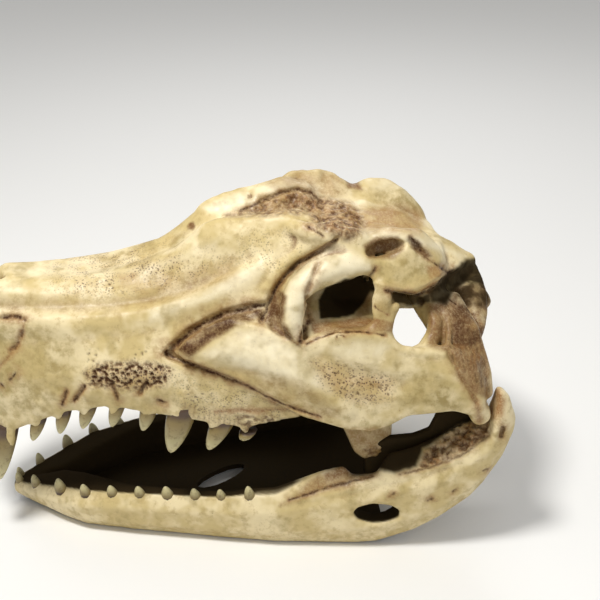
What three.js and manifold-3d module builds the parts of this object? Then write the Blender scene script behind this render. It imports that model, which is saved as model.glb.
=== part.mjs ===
// Crocodile skull, a painted resin display replica at life size.
// Millimetres, +Z up. The snout points to -X, the animal's left side is -Y, and every
// bone is mirrored about Y = 0. The tables run from the snout tip to the back of the head.
import * as THREE from 'three';
import { mergeVertices } from 'three/addons/utils/BufferGeometryUtils.js';
import Module from 'manifold-3d';

const wasm = await Module();
wasm.setup();
const { Manifold, Mesh } = wasm;

// ---------------------------------------------------------------- driving dimensions
const SEAM = 0.4;               // gap left between neighbouring bones
const COARSE = 0.7;             // largest step that is flattened away before the cuts
const TIDY = 0.09;              // and after them
const PREMAXILLA_END = 110;     // x + 0.12 z at the seam behind the first big tooth
const NASAL_HALF = 15;          // half width of the strip along the top of the snout
const NASAL_END = 222;          // where the nasals meet the frontal
const FRONTAL_END = 384;        // where the frontal meets the parietal
const PARIETAL_HALF = 30;
const LACRIMAL_START = 268;
const PREFRONTAL_LOW = 188;     // seam under the prefrontal, 0.6 y + 0.8 z
const JUGAL_END = 429;          // where the jugal meets the quadratojugal
const DENTARY_END = 364;        // where the dentary meets the surangular
const ARTICULAR_START = 474;
const PALATE_Z = 168;
const ORBIT = { x: 347, y: 82, z: 259, rx: 31, ry: 40, rz: 29, floor: 233 };
const WINDOW = { x: 417, y: 95, z: 231, rx: 18, ry: 40, rz: 21 };
const WELL = { x: 394, y: 68, z: 296, rx: 17, ry: 8, rz: 12 };
const BRAINCASE_FLOOR = 207;
const OCCIPITAL = { x: 493, y: 0, z: 203, rx: 18, ry: 15, rz: 13 };
const CONDYLE = { x: 479, y: 98, z: 146, half: 16, r: 11.5 };
const FLANGE_TIP = { x: 393, y: 78, z: 80 };
const NARIS = { x: 55, y: 9, rx: 14, ry: 7, rz: 26 };
const FENESTRA = { x: 391, z: 42, rx: 22, rz: 12 };
const THROAT_Z = [4, 10];       // cast floor between the two branches of the jaw
const THROAT_X = [112, 402];
const THROAT_GAP = { x: 250, y: 6, length: 62, width: 22, yaw: 0.6 };

// face and snout: half sections from the middle of the roof round to the palate
// x, midZ, crestY, crestZ, shoulderY, Z, valleyY, Z, bulgeY, Z, wallY, Z, rimZ, palateZ
const SNOUT = [
  [18, 163, 4, 163, 6, 160, 8, 155, 10, 140, 11, 130, 119, 123],
  [29, 198, 8, 198, 14, 195, 20, 184, 26, 154, 29, 134, 113, 123],
  [44, 232, 10, 231, 20, 226, 31, 208, 40, 168, 43, 136, 111, 123],
  [62, 255, 12, 255, 29, 243, 41, 224, 51, 176, 53, 135, 112, 127],
  [86, 252, 16, 250, 34, 240, 47, 223, 59, 175, 60, 140, 125, 141],
  [111, 252, 18, 250, 39, 240, 52, 225, 67, 180, 68, 154, 139, 154],
  [155, 255, 20, 252, 45, 243, 58, 228, 76, 187, 77, 162, 150, 165],
  [215, 270, 14, 272, 46, 255, 62, 238, 85, 191, 87, 154, 140, 170],
  [241, 287, 24, 299, 47, 268, 63, 247, 88, 195, 90, 149, 134, 172],
  [253, 291, 27, 305, 49, 273, 65, 251, 90, 197, 92, 148, 132, 173],
  [276, 296, 34, 311, 53, 281, 68, 257, 93, 200, 95, 146, 129, 174],
  [318, 301, 46, 317, 60, 292, 75, 264, 97, 206, 103, 159, 143, 175],
  [338, 300, 47, 311, 60, 290, 75, 261, 98, 206, 106, 164, 153, 175],
  [354, 294, 47, 298, 57, 284, 72, 260, 95, 207, 104, 174, 161, 175],
];

// roof over the eyes and ears
// x, midZ, crestY, crestZ, slopeY, slopeZ, rimY, rimZ, rim thickness
const ROOF = [
  [322, 303, 60, 313, 66, 284, 81, 256, 9],
  [366, 291, 63, 316, 70, 299, 78, 273, 10],
  [383, 287, 62, 306, 72, 290, 82, 275, 11],
  [392, 286, 62, 312, 74, 288, 85, 270, 11],
  [418, 282, 62, 310, 75, 283, 88, 262, 13],
  [440, 275, 62, 286, 71, 276, 80, 264, 12],
  [451, 272, 60, 275, 67, 268, 72, 259, 11],
  [458, 270, 18, 263, 32, 257, 46, 250, 9],
  [470, 263, 15, 259, 28, 252, 38, 245, 9],
  [483, 254, 10, 251, 20, 246, 28, 239, 9],
  [492, 250, 7, 247, 12, 242, 18, 235, 8],
];

// cheek plate, outer face: x, topY, topZ, bottomY, bottomZ, thickness
const CHEEK = [
  [215, 84, 212, 85, 206, 4],
  [241, 82, 231, 91, 196, 9],
  [263, 84, 239, 96, 186, 10],
  [287, 91, 236, 102, 171, 11],
  [322, 102, 222, 111, 154, 13],
  [359, 105, 235, 116, 142, 15],
  [383, 105, 232, 117, 139, 15],
  [400, 105, 222, 117, 145, 14],
  [414, 105, 216, 118, 154, 13],
  [454, 107, 213, 119, 157, 13],
  [473, 107, 200, 119, 150, 13],
  [482, 105, 182, 115, 155, 12],
];

// one branch of the lower jaw: x, outerY, innerY, topZ, inner topZ, bottomZ, outer belly
const JAW = [
  [46, 5, -1, 22, 22, 10, 1],
  [74, 26, -1, 30, 30, 2, 3],
  [98, 43, -1, 36, 36, 0, 4],
  [119, 56, 12, 41, 41, 0, 4],
  [165, 68, 44, 46, 46, 0, 4],
  [251, 86, 67, 50, 50, 0, 4],
  [299, 96, 77, 56, 60, 0, 4],
  [362, 103, 85, 73, 90, 0, 5],
  [372, 104, 86, 77, 76, 0, 5],
  [392, 106, 88, 83, 78, 2, 5],
  [404, 108, 86, 87, 101, 6, 5],
  [427, 110, 84, 93, 105, 14, 5],
  [451, 112, 82, 101, 115, 30, 5],
  [477, 113, 81, 124, 128, 52, 5],
  [489, 112, 82, 128, 130, 67, 5],
  [496, 111, 86, 170, 168, 78, 5],
  [505, 109, 89, 162, 160, 94, 4],
  [513, 105, 96, 140, 139, 124, 1],
];

const TOOTH_SIDES = 4;
// upper teeth: x, radius, length, forward lean
const UPPER_TEETH = [
  [31, 4.5, 14, 1], [43, 5, 17, 2], [60, 9.5, 42, 7], [87, 6.5, 18, 3],
  [109, 6.5, 19, 4], [133, 7.5, 21, 4], [159, 7.5, 22, 5], [188, 7.5, 20, 5],
  [215, 11.5, 36, 9], [246, 8.5, 24, 5], [273, 7, 9, 2],
];
// lower teeth: x, radius, height
const LOWER_TEETH = [
  [53, 4, 13], [71, 5, 14], [97, 5.5, 15], [122, 5, 12], [148, 5, 11],
  [174, 5, 11], [200, 5.5, 12], [226, 5, 11], [250, 4.5, 11], [276, 5, 14],
];

// ---------------------------------------------------------------- small helpers
const mix = (a, b, t) => a + (b - a) * t;

function rowAt(table, x) {
  let i = 0;
  while (i < table.length - 2 && table[i + 1][0] < x) i += 1;
  const a = table[i];
  const b = table[i + 1];
  const t = Math.min(1, Math.max(0, (x - a[0]) / (b[0] - a[0])));
  return a.map((v, k) => mix(v, b[k], t));
}

function toManifold(geometry, weld = 1e-4) {
  const bare = new THREE.BufferGeometry();
  bare.setAttribute('position', geometry.getAttribute('position').clone());
  if (geometry.index) bare.setIndex(geometry.index.clone());
  const merged = mergeVertices(bare, weld);
  return new Manifold(new Mesh({
    numProp: 3,
    vertProperties: new Float32Array(merged.getAttribute('position').array),
    triVerts: new Uint32Array(merged.index.array),
  }));
}

function toGeometry(solid) {
  const m = solid.getMesh();
  const points = new Float32Array(m.numVert * 3);
  for (let i = 0; i < m.numVert; i += 1) {
    for (let k = 0; k < 3; k += 1) points[i * 3 + k] = m.vertProperties[i * m.numProp + k];
  }
  const g = new THREE.BufferGeometry();
  g.setAttribute('position', new THREE.BufferAttribute(points, 3));
  g.setIndex(new THREE.BufferAttribute(new Uint32Array(m.triVerts), 1));
  return g;
}

// Closed solid through rings of equal length. The ends are closed like a ladder, the
// first half of a ring against the second, so hollowed sections stay valid.
function loft(rings) {
  const n = rings[0].length;
  const index = [];
  for (let r = 0; r < rings.length - 1; r += 1) {
    for (let k = 0; k < n; k += 1) {
      const a = r * n + k;
      const b = r * n + ((k + 1) % n);
      index.push(a, b, b + n, a, b + n, a + n);
    }
  }
  const end = (rings.length - 1) * n;
  for (let k = 0; k < n / 2 - 1; k += 1) {
    const a = k;
    const b = k + 1;
    const c = n - 2 - k;
    const d = n - 1 - k;
    index.push(a, c, b, a, d, c);
    index.push(end + a, end + b, end + c, end + a, end + c, end + d);
  }
  const geometry = new THREE.BufferGeometry();
  geometry.setAttribute('position', new THREE.Float32BufferAttribute(rings.flat().flat(), 3));
  geometry.setIndex(index);
  let solid = toManifold(geometry);
  if (solid.volume() < 0) {
    geometry.setIndex(index.map((v, i) => index[i - (i % 3) + [0, 2, 1][i % 3]]));
    solid = toManifold(geometry);
  }
  return solid;
}

// A section from an upper and a lower half curve, mirrored to both sides.
function mirroredRing(x, upper, lower) {
  const flip = ([y, z]) => [x, -y, z];
  const stay = ([y, z]) => [x, y, z];
  return [
    ...upper.slice(1).reverse().map(flip), ...upper.map(stay),
    ...lower.slice(1).reverse().map(stay), ...lower.map(flip),
  ];
}

// A tube through points {x, y, z, a, b}. a is the half width along the tube's direction
// crossed with the hint, b the half width square to both.
function limb(points, sides, squash = 1, grow = 0, hint = [0, 1, -1]) {
  const last = points.length - 1;
  const nodes = points.map((p) => ({ ...p, a: p.a + grow, b: p.b + grow }));
  if (grow) {
    const reach = (p, q) => {
      const d = Math.hypot(p.x - q.x, p.y - q.y, p.z - q.z);
      const t = 1 + grow / d;
      return { ...p, x: mix(q.x, p.x, t), y: mix(q.y, p.y, t), z: mix(q.z, p.z, t) };
    };
    const first = reach(nodes[0], nodes[1]);
    nodes[last] = reach(nodes[last], nodes[last - 1]);
    nodes[0] = first;
  }
  const rings = nodes.map((p, i) => {
    const q = points[Math.min(last, i + 1)];
    const o = points[Math.max(0, i - 1)];
    const along = new THREE.Vector3(q.x - o.x, q.y - o.y, q.z - o.z).normalize();
    const side = new THREE.Vector3().crossVectors(along, new THREE.Vector3(...hint)).normalize();
    const up = new THREE.Vector3().crossVectors(side, along);
    const ring = [];
    for (let k = 0; k < sides; k += 1) {
      const w = (2 * Math.PI * (k + 0.5)) / sides;
      const cw = Math.sign(Math.cos(w)) * Math.abs(Math.cos(w)) ** squash;
      const sw = Math.sign(Math.sin(w)) * Math.abs(Math.sin(w)) ** squash;
      const v = side.clone().multiplyScalar(p.a * cw).addScaledVector(up, p.b * sw);
      ring.push([p.x + v.x, p.y + v.y, p.z + v.z]);
    }
    return ring;
  });
  return loft(rings);
}

function box(x0, x1, y0, y1, z0, z1) {
  const g = new THREE.BoxGeometry(x1 - x0, y1 - y0, z1 - z0);
  g.translate((x0 + x1) / 2, (y0 + y1) / 2, (z0 + z1) / 2);
  return toManifold(g);
}

function ellipsoid({ x, y, z, rx, ry, rz }, detail = 12) {
  const g = new THREE.SphereGeometry(1, detail, Math.round(detail * 0.66));
  g.scale(rx, ry, rz);
  g.translate(x, y, z);
  return toManifold(g);
}

const mirrored = (solid) => solid.mirror([0, 1, 0]);
const bothSides = (solid) => solid.add(mirrored(solid));

// A convex block bounded by planes [nx, ny, nz, d], keeping the side n.p >= d.
function block(planes, grow) {
  let r = box(-60, 620, -200, 200, -60, 420);
  for (const [nx, ny, nz, d] of planes) {
    const len = Math.hypot(nx, ny, nz);
    r = r.trimByPlane([nx / len, ny / len, nz / len], d / len - grow);
  }
  return r;
}

// ---------------------------------------------------------------- face and snout
function snout() {
  const rings = SNOUT.map((row) => {
    const [x, midZ, cy, cz, sy, sz, vy, vz, by, bz, wy, wz, rim, palate] = row;
    const upper = [[0, midZ], [cy, cz], [sy, sz], [vy, vz], [by, bz]];
    const side = mix(bz, rim, 0.4);
    const inner = Math.max(wy - 15, wy * 0.55);
    const lower = [
      [0, palate], [inner * 0.7, palate - 0.5], [inner, mix(rim, palate, 0.3)],
      [wy - 2, rim], [mix(wy, by, 0.4), side],
    ];
    return mirroredRing(x, upper, lower);
  });
  return loft(rings).subtract(bothSides(ellipsoid({ ...NARIS, z: 252 }, 8)));
}

// solid mass of the face below and between the eyes, down to the palate
function faceCore(grow = 0) {
  const top = ORBIT.floor + grow;
  const low = PALATE_Z - grow;
  const rows = [
    [300 - grow, 96, top - 2], [330, 96, top], [362, 96, top], [388, 95, top], [397 + grow, 88, top - 3],
  ];
  return loft(rows.map(([x, w, z]) => mirroredRing(
    x,
    [[0, z], [w * 0.6, z], [w + grow, z - 6]],
    [[0, low + 5], [w * 0.6, low], [w - 2 + grow, low + 4]],
  )));
}

const eyeWall = (g = 0) => box(312 - g, 404 + g, -44 - g, 44 + g, 212 - g, 288 + g);

function roof(grow = 0) {
  return loft(ROOF.map((row, i) => {
    const [x, midZ, cy, cz, sy, sz, ry, rz, thick] = row;
    const waist = mix(midZ, cz, 0.3);
    const end = (i === ROOF.length - 1 ? grow : 0) - (i === 0 ? grow : 0);
    const above = 6 * grow;
    const upper = [
      [0, midZ + above], [cy * 0.55, waist + above], [cy, cz], [sy, sz], [ry + grow, rz],
    ];
    const lower = [
      [0, midZ - 16], [cy * 0.5, midZ - 17], [cy * 0.9, cz - 28],
      [sy - 6, sz - thick - 6], [ry - 4, rz - thick],
    ].map(([y, z]) => [y, z - grow]);
    return mirroredRing(x + end, upper, lower);
  }));
}

// ---------------------------------------------------------------- cheek, bars, quadrate
function cheek(grow = 0) {
  const swell = 4;
  const plate = CHEEK.map(([x, ty, tz, by, bz, thick], i) => {
    const edge = (i === 0 ? -grow : 0) + (i === CHEEK.length - 1 ? grow : 0);
    const at = (t, off) => [
      x + edge,
      -(mix(by, ty, t) + swell * Math.sin(Math.PI * t) + off),
      mix(bz - grow, tz + grow, t),
    ];
    const steps = [0, 0.33, 0.67, 1];
    return [...steps.map((t) => at(t, grow)), ...steps.reverse().map((t) => at(t, -thick - grow))];
  });
  return loft(plate);
}

function postorbitalBar(grow = 0) {
  return limb([
    { x: 389, y: -97, z: 212, a: 16, b: 8 }, { x: 389, y: -95, z: 234, a: 14, b: 7 },
    { x: 389, y: -90, z: 249, a: 11, b: 7 }, { x: 392, y: -81, z: 270, a: 14, b: 8 },
  ], 6, 1, grow);
}

function quadrate(grow = 0) {
  const shaft = limb([
    { x: 434, y: -38, z: 251, a: 24, b: 14 }, { x: 461, y: -80, z: 211, a: 22, b: 13 },
    { x: 473, y: -93, z: 178, a: 19, b: 13 }, { x: 477, y: -98, z: 156, a: 17, b: 11 },
  ], 6, 0.8, grow);
  const { x, y, z, half, r } = CONDYLE;
  const condyle = limb([
    { x, y: -y - half, z: z + 1, a: r * 0.85, b: r * 0.85 },
    { x, y: -y, z: z + 1, a: r * 0.95, b: r * 0.95 },
    { x, y: -y + half, z: z + 2, a: r * 0.8, b: r * 0.8 },
  ], 8, 1, grow);
  const web = limb([
    { x: 440, y: -99, z: 190, a: 10, b: 28 }, { x: 472, y: -98, z: 178, a: 10, b: 26 },
  ], 6, 1, grow, [0, 0, 1]);
  return shaft.add(condyle).add(web);
}

function paroccipital(grow = 0) {
  return limb([
    { x: 484, y: 8, z: 232, a: 15, b: 15 }, { x: 484, y: -28, z: 222, a: 15, b: 15 },
    { x: 483, y: -45, z: 214, a: 13, b: 15 }, { x: 480, y: -60, z: 208, a: 11, b: 13 },
    { x: 477, y: -73, z: 205, a: 8, b: 8 },
  ], 6, 0.9, grow);
}

function browArch(grow = 0) {
  return limb([
    { x: 320, y: -98, z: 222, a: 7, b: 6 }, { x: 313, y: -93, z: 241, a: 10, b: 11 },
    { x: 320, y: -79, z: 265, a: 10, b: 13 }, { x: 340, y: -73, z: 278, a: 10, b: 14 },
    { x: 365, y: -70, z: 285, a: 9, b: 12 }, { x: 394, y: -75, z: 283, a: 4, b: 6 },
  ], 6, 0.9, grow, [0, 1, 0]);
}

function magnum() {
  return ellipsoid({ x: 503, y: 0, z: 229, rx: 14, ry: 9, rz: 8 }, 8);
}

function braincase(grow = 0) {
  const rows = [[394 - grow, 40, 268, 0], [428, 42, 262, 0], [458, 36, 256, -2], [487 + grow, 24, 240, -12]];
  const body = loft(rows.map(([x, w, top, drop]) => {
    const low = BRAINCASE_FLOOR + drop - grow;
    return mirroredRing(
      x,
      [[0, top + grow], [w * 0.7, top + grow], [w + grow, top - 14]],
      [[0, low], [w * 0.55, low + 2], [w * 0.9 + grow, low + 14]],
    );
  }));
  return body.add(ellipsoid(OCCIPITAL, 9));
}

function pterygoid(grow = 0) {
  const { x, y, z } = FLANGE_TIP;
  const wing = limb([
    { x: 372, y: -18, z: 165, a: 36, b: 13 }, { x: 378, y: -44, z: 149, a: 32, b: 11 },
    { x: 386, y: -66, z: 118, a: 27, b: 10 }, { x: x - 3, y: -y + 2, z: z + 14, a: 20, b: 8 },
    { x, y: -y, z, a: 9, b: 4 },
  ], 6, 0.85, grow);
  const rows = [[338, 22, 174, 158], [365, 26, 180, 152], [396, 24, 209, 149], [408, 12, 212, 166]];
  const keel = loft(rows.map(([x, w, top, low]) => mirroredRing(
    x,
    [[0, top + grow], [w + grow, top - 4 + grow]],
    [[0, low - grow], [w + grow, low + 5 - grow]],
  )));
  return bothSides(wing).add(keel);
}

// ---------------------------------------------------------------- teeth
// A pointed peg from { x, y, z }. Down is 1 for an upper tooth and -1 for a lower one.
function tooth({ x, y, z, radius, length, lean, outward, down }) {
  const steps = [[-0.35, 0.85], [0.25, 0.95], [1, 0.12]];
  return limb(steps.map(([t, r]) => ({
    x: x - lean * t,
    y: y + outward * t * t,
    z: z - down * length * t,
    a: radius * r * 0.84,
    b: radius * r,
  })), TOOTH_SIDES);
}

function upperTeeth() {
  return UPPER_TEETH.map(([x, radius, length, lean]) => {
    const row = rowAt(SNOUT, x);
    const y = -(row[10] - Math.min(7, row[10] * 0.35));
    return tooth({ x, y, z: row[12] + 2, radius, length, lean, outward: -2, down: 1 });
  });
}

function lowerTeeth() {
  return LOWER_TEETH.map(([x, radius, length]) => {
    const row = rowAt(JAW, x);
    const root = { x, y: -(row[1] - 7), z: row[3] - 2 };
    return tooth({ ...root, radius, length, lean: 1, outward: -1, down: -1 });
  });
}

// ---------------------------------------------------------------- lower jaw
function jawBranch() {
  const body = loft(JAW.map(([x, outer, inner, top, wall, low, belly]) => {
    const tuck = Math.min(10, (outer - inner) * 0.4);
    const face = (t) => -(outer + belly * Math.sin(Math.PI * t) - (1 - t) ** 3 * tuck);
    const side = [0, 0.3, 0.75].map((t) => [x, face(t), mix(low, top, t)]);
    const cap = [[x, -mix(inner, outer, 0.8), top + 1], [x, -mix(inner, outer, 0.1), wall]];
    const inside = [[x, -inner, mix(low, wall, 0.5)], [x, -mix(inner, outer, 0.25), low]];
    return [...side, ...cap, ...inside, [x, face(0) * 0.5 - mix(inner, outer, 0.25) * 0.5, low]];
  }));
  const hole = ellipsoid({ ...FENESTRA, y: -105, ry: 60 }, 9);
  const { x, y, z, r } = CONDYLE;
  const cup = { x, z, a: r + SEAM, b: r + SEAM };
  const seat = limb([{ ...cup, y: -y - 24 }, { ...cup, y: -y + 24 }], 8);
  return body.subtract(hole).subtract(seat);
}

function throat() {
  const rings = [THROAT_X[0], 140, 165, 251, 362, THROAT_X[1]].map((x) => {
    const w = Math.max(6, rowAt(JAW, x)[2] + 4);
    return mirroredRing(x, [[0, THROAT_Z[1]], [w, THROAT_Z[1]]], [[0, THROAT_Z[0]], [w, THROAT_Z[0]]]);
  });
  const g = new THREE.SphereGeometry(1, 14, 6);
  g.scale(THROAT_GAP.length / 2, THROAT_GAP.width / 2, 20);
  g.rotateZ(THROAT_GAP.yaw);
  g.translate(THROAT_GAP.x, THROAT_GAP.y, THROAT_Z[0]);
  return loft(rings).subtract(toManifold(g));
}

// ---------------------------------------------------------------- parting into bones
const named = [];

// Keeps the one body of a solid that matters and drops crumbs left by the cuts.
function keep(name, solid) {
  const welded = toManifold(toGeometry(solid.simplify(TIDY)), 2e-3);
  const bodies = welded.decompose().sort((p, q) => q.volume() - p.volume());
  named.push([name, bodies[0]]);
}

function keepPair(name, left) {
  keep(`${name}_left`, left);
  keep(`${name}_right`, mirrored(left));
}

// The part of a solid inside a block of planes, and the rest beyond a seam.
function split(solid, planes) {
  return [solid.intersect(block(planes, -SEAM / 2)), solid.subtract(block(planes, SEAM / 2))];
}

// A solid with copies moved by one seam, used to cut a gap around it.
function widened(solid, moves) {
  return moves.reduce((all, m) => all.add(solid.translate(m.map((v) => v * SEAM))), solid);
}

function cranium() {
  const window = ellipsoid({ ...WINDOW, y: -WINDOW.y }, 9);
  const orbit = ellipsoid({ ...ORBIT, y: -ORBIT.y }, 9);
  const well = ellipsoid({ ...WELL, y: -WELL.y }, 8);
  const taken = [];                     // grown shapes of the bones placed so far
  const free = (solid) => taken.reduce((rest, t) => rest.subtract(t), solid);
  const left = (solid) => solid.trimByPlane([0, -1, 0], SEAM / 2);

  const plate = cheek().subtract(window);
  keepPair('jugal', plate.trimByPlane([-1, 0, 0.1], SEAM / 2 + 20 - JUGAL_END));
  keepPair('quadratojugal', plate.trimByPlane([1, 0, -0.1], SEAM / 2 - 20 + JUGAL_END));
  taken.push(cheek(1.8 * SEAM).add(widened(cheek(), [[0, 1, 0]])));

  keepPair('palpebral', free(browArch()));
  taken.push(browArch(1.3 * SEAM));

  keepPair('quadrate', free(quadrate().subtract(window)));
  taken.push(quadrate(SEAM));

  keepPair('postorbital', free(postorbitalBar().subtract(window)));
  taken.push(postorbitalBar(SEAM));

  keepPair('exoccipital', left(free(paroccipital()).subtract(magnum())));
  taken.push(paroccipital(SEAM));

  // the whole face, left half, with its teeth; prefrontals come first, above the roof
  let face = left(snout()).subtract(orbit).subtract(window);
  for (const t of upperTeeth()) face = face.add(t);
  face = free(face.simplify(COARSE));
  let bit;
  [bit, face] = split(face, [[0, -0.9, 0.25, 88], [1, 0, 0, 236], [0, 0.6, 0.8, PREFRONTAL_LOW]]);
  keepPair('prefrontal', bit);
  taken.push(widened(bit, [[1, -1, -1], [1, 1, 1]]));

  keep('pterygoid', both(free(left(pterygoid())), pterygoid()));
  taken.push(pterygoid(SEAM));

  // roof: parietal along the middle, frontal in front, a squamosal on each side
  const cap = free(left(roof()).subtract(well).subtract(window));
  const wide = box(FRONTAL_END + SEAM, 600, -PARIETAL_HALF, 1, 0, 400);
  keepPair('squamosal', cap.subtract(wide).trimByPlane([1, 0, 0], FRONTAL_END + SEAM));
  keepPair('parietal', cap.intersect(box(FRONTAL_END + SEAM, 600, SEAM - PARIETAL_HALF, 1, 0, 400)));
  keepPair('frontal', cap.trimByPlane([-1, 0, 0], -FRONTAL_END));
  taken.push(roof(SEAM));

  const core = free(left(braincase()).subtract(magnum()));
  keepPair('braincase', core);
  taken.push(braincase(SEAM));

  const floor = free(left(faceCore().add(eyeWall())).subtract(orbit).subtract(window));
  keepPair('palatine', floor);
  taken.push(faceCore(SEAM).add(eyeWall(SEAM)));

  face = free(face);
  [bit, face] = split(face, [[-1, 0, -0.12, -PREMAXILLA_END]]);
  keepPair('premaxilla', bit);
  [bit, face] = split(face, [[-1, 0, 0, -NASAL_END], [0, 1, 0, -NASAL_HALF], [0, 0, 1, 238]]);
  keepPair('nasal', bit);
  [bit, face] = split(face, [[1, 0, 0.35, LACRIMAL_START + 84], [0, 0, 1, 214]]);
  keepPair('lacrimal', bit);
  keepPair('maxilla', face);
}

// One body across the middle: the cleaned left half joined to its mirror image.
function both(half, whole) {
  const strip = box(300, 420, -SEAM, SEAM, 150, 205);
  return bothSides(half).add(whole.intersect(strip));
}

function lowerJaw() {
  const teeth = lowerTeeth();
  const branch = teeth.reduce((all, t) => all.add(t), jawBranch()).simplify(COARSE);
  const whole = branch.trimByPlane([0, -1, 0], SEAM / 2);
  let [bit, rest] = split(whole, [[-1, 0, 0.25, -DENTARY_END]]);
  keepPair('dentary', bit);
  [bit, rest] = split(rest, [[1, 0, -0.2, ARTICULAR_START - 24]]);
  keepPair('articular', bit);
  const slope = 0.35;
  [bit, rest] = split(rest, [[-slope, 0, 1, FENESTRA.z - slope * FENESTRA.x]]);
  keepPair('surangular', bit);
  keepPair('angular', rest);
  const blocked = widened(bothSides(whole), [[0, 1, 0], [0, -1, 0], [1, 0, 0]]);
  keep('throat', throat().subtract(blocked));
}

cranium();
lowerJaw();

const group = new THREE.Group();
group.name = 'crocodile_skull';
group.position.x = -(SNOUT[0][0] + JAW[JAW.length - 1][0]) / 2;
const BONE = new THREE.MeshStandardMaterial({ color: 0xd8c79b, roughness: 0.5, metalness: 0 });
for (const [name, solid] of named) {
  const mesh = new THREE.Mesh(toGeometry(solid), BONE);
  mesh.name = name;
  group.add(mesh);
}
export default group;
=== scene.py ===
# %% [markdown]
# # A painted resin replica of a crocodile skull
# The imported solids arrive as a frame: every bone is in its place, with sharp edges and open
# seams. This lesson melts them into one field of distances, carves that field as a sculptor
# would, turns it into a dense mesh, and gives the mesh fine relief and paint. Sculpting by hand
# is the other way, but a script can be run again when the solids change.

# %% Load the frame
import math

import bpy
import numpy as np
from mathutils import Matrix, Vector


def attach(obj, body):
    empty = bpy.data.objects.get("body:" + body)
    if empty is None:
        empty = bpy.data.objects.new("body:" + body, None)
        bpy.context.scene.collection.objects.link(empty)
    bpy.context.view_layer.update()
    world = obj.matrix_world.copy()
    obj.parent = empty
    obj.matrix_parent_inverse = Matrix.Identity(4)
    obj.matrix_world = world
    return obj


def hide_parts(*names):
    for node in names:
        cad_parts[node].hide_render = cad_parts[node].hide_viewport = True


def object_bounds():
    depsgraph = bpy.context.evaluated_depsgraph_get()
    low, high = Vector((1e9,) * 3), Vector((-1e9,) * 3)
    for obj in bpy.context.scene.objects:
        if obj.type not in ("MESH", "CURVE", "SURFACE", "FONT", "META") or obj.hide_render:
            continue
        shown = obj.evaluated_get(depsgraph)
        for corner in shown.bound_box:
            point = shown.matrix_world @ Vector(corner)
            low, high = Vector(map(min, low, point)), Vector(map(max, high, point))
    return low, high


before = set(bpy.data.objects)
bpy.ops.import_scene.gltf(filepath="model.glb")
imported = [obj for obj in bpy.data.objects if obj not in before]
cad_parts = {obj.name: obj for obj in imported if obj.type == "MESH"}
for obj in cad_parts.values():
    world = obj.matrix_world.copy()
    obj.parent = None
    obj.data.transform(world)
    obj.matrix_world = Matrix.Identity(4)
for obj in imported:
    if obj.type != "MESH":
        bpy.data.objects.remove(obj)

import openvdb as vdb
from mathutils import Matrix, Vector

cad_low, cad_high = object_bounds()
MM = 0.001
print("CAD box, mm:", [round(v / MM) for v in (*cad_low, *cad_high)])

# %% [markdown]
# The shape is easiest to reason about in the skull's own millimetres: x runs from the
# snout to the back of the head, y to the animal's right, z up from the shelf. Blender works in
# metres around the frame's origin, so one small function translates.

# %% Units
SNOUT_TIP = 18.0                       # x of the snout tip in the skull's own millimetres
SHIFT = SNOUT_TIP - cad_low.x / MM     # what is added to a frame x to get a skull x


def to_frame(points):
    """Skull millimetres to frame metres."""
    return (np.asarray(points, float) - [SHIFT, 0, 0]) * MM


print("skull x = frame x +", round(SHIFT, 1))

# %% [markdown]
# The camera stands to the left of the head and looks down on it. Its axes are kept as plain
# vectors, because the same vectors later tell where a carved line falls on the bone. A place in
# the render is written (u, v), counted in 600ths of its width from the upper left corner.

# %% Where the camera stands
CAMERA_TURN = math.radians(5)          # towards the snout
CAMERA_DROP = math.radians(28)
CAMERA_AIM = np.array([323.0, -75.0, 250.7])
CAMERA_DISTANCE = 935.0
SHEET = 600
FOCAL = 1100.0                         # focal length, in the same 600ths
view_dir = np.array([
    math.sin(CAMERA_TURN) * math.cos(CAMERA_DROP),
    math.cos(CAMERA_TURN) * math.cos(CAMERA_DROP),
    -math.sin(CAMERA_DROP),
])
view_right = np.array([math.cos(CAMERA_TURN), -math.sin(CAMERA_TURN), 0.0])
view_up = np.cross(view_right, view_dir)
eye = CAMERA_AIM - view_dir * CAMERA_DISTANCE
print("camera at", eye.round())


def on_sheet(points):
    """Where points fall in the render, and how deep they lie along the view."""
    rel = points - eye
    depth = rel @ view_dir
    u = SHEET / 2 + FOCAL * (rel @ view_right) / depth
    v = SHEET / 2 - FOCAL * (rel @ view_up) / depth
    return u, v, depth


# %% [markdown]
# A camera object looks along its own -Z axis with +Y up, so the three vectors become the
# columns of its matrix. Euler angles would have to be worked out from them first.

# %% Camera
camera_data = bpy.data.cameras.new("camera")
camera_data.sensor_width = 36
camera_data.lens = FOCAL * camera_data.sensor_width / SHEET
camera_data.clip_end = 50
camera = bpy.data.objects.new("camera", camera_data)
bpy.context.scene.collection.objects.link(camera)
axes = np.stack([view_right, view_up, -view_dir], 1)
camera.matrix_world = Matrix.Translation(Vector(to_frame(eye))) @ Matrix(axes.tolist()).to_4x4()
bpy.context.scene.camera = camera
print("lens", round(camera_data.lens, 1), "mm")

# %% [markdown]
# Resin bone shows its carving only under a lamp that comes from one side. A small key lamp high
# over the snout draws the ridges, a wide fill keeps the shade readable, and a lamp behind parts
# the skull from the backdrop. The world adds a weak light from everywhere.

# %% Room and lamps
WORLD_STRENGTH = 0.42
world = bpy.data.worlds.new("soft room")
world.use_nodes = True
background = world.node_tree.nodes["Background"]
background.inputs["Color"].default_value = (1.0, 0.99, 0.97, 1)
background.inputs["Strength"].default_value = WORLD_STRENGTH
bpy.context.scene.world = world
bpy.context.scene.view_settings.view_transform = "Standard"
bpy.context.scene.view_settings.look = "None"


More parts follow.
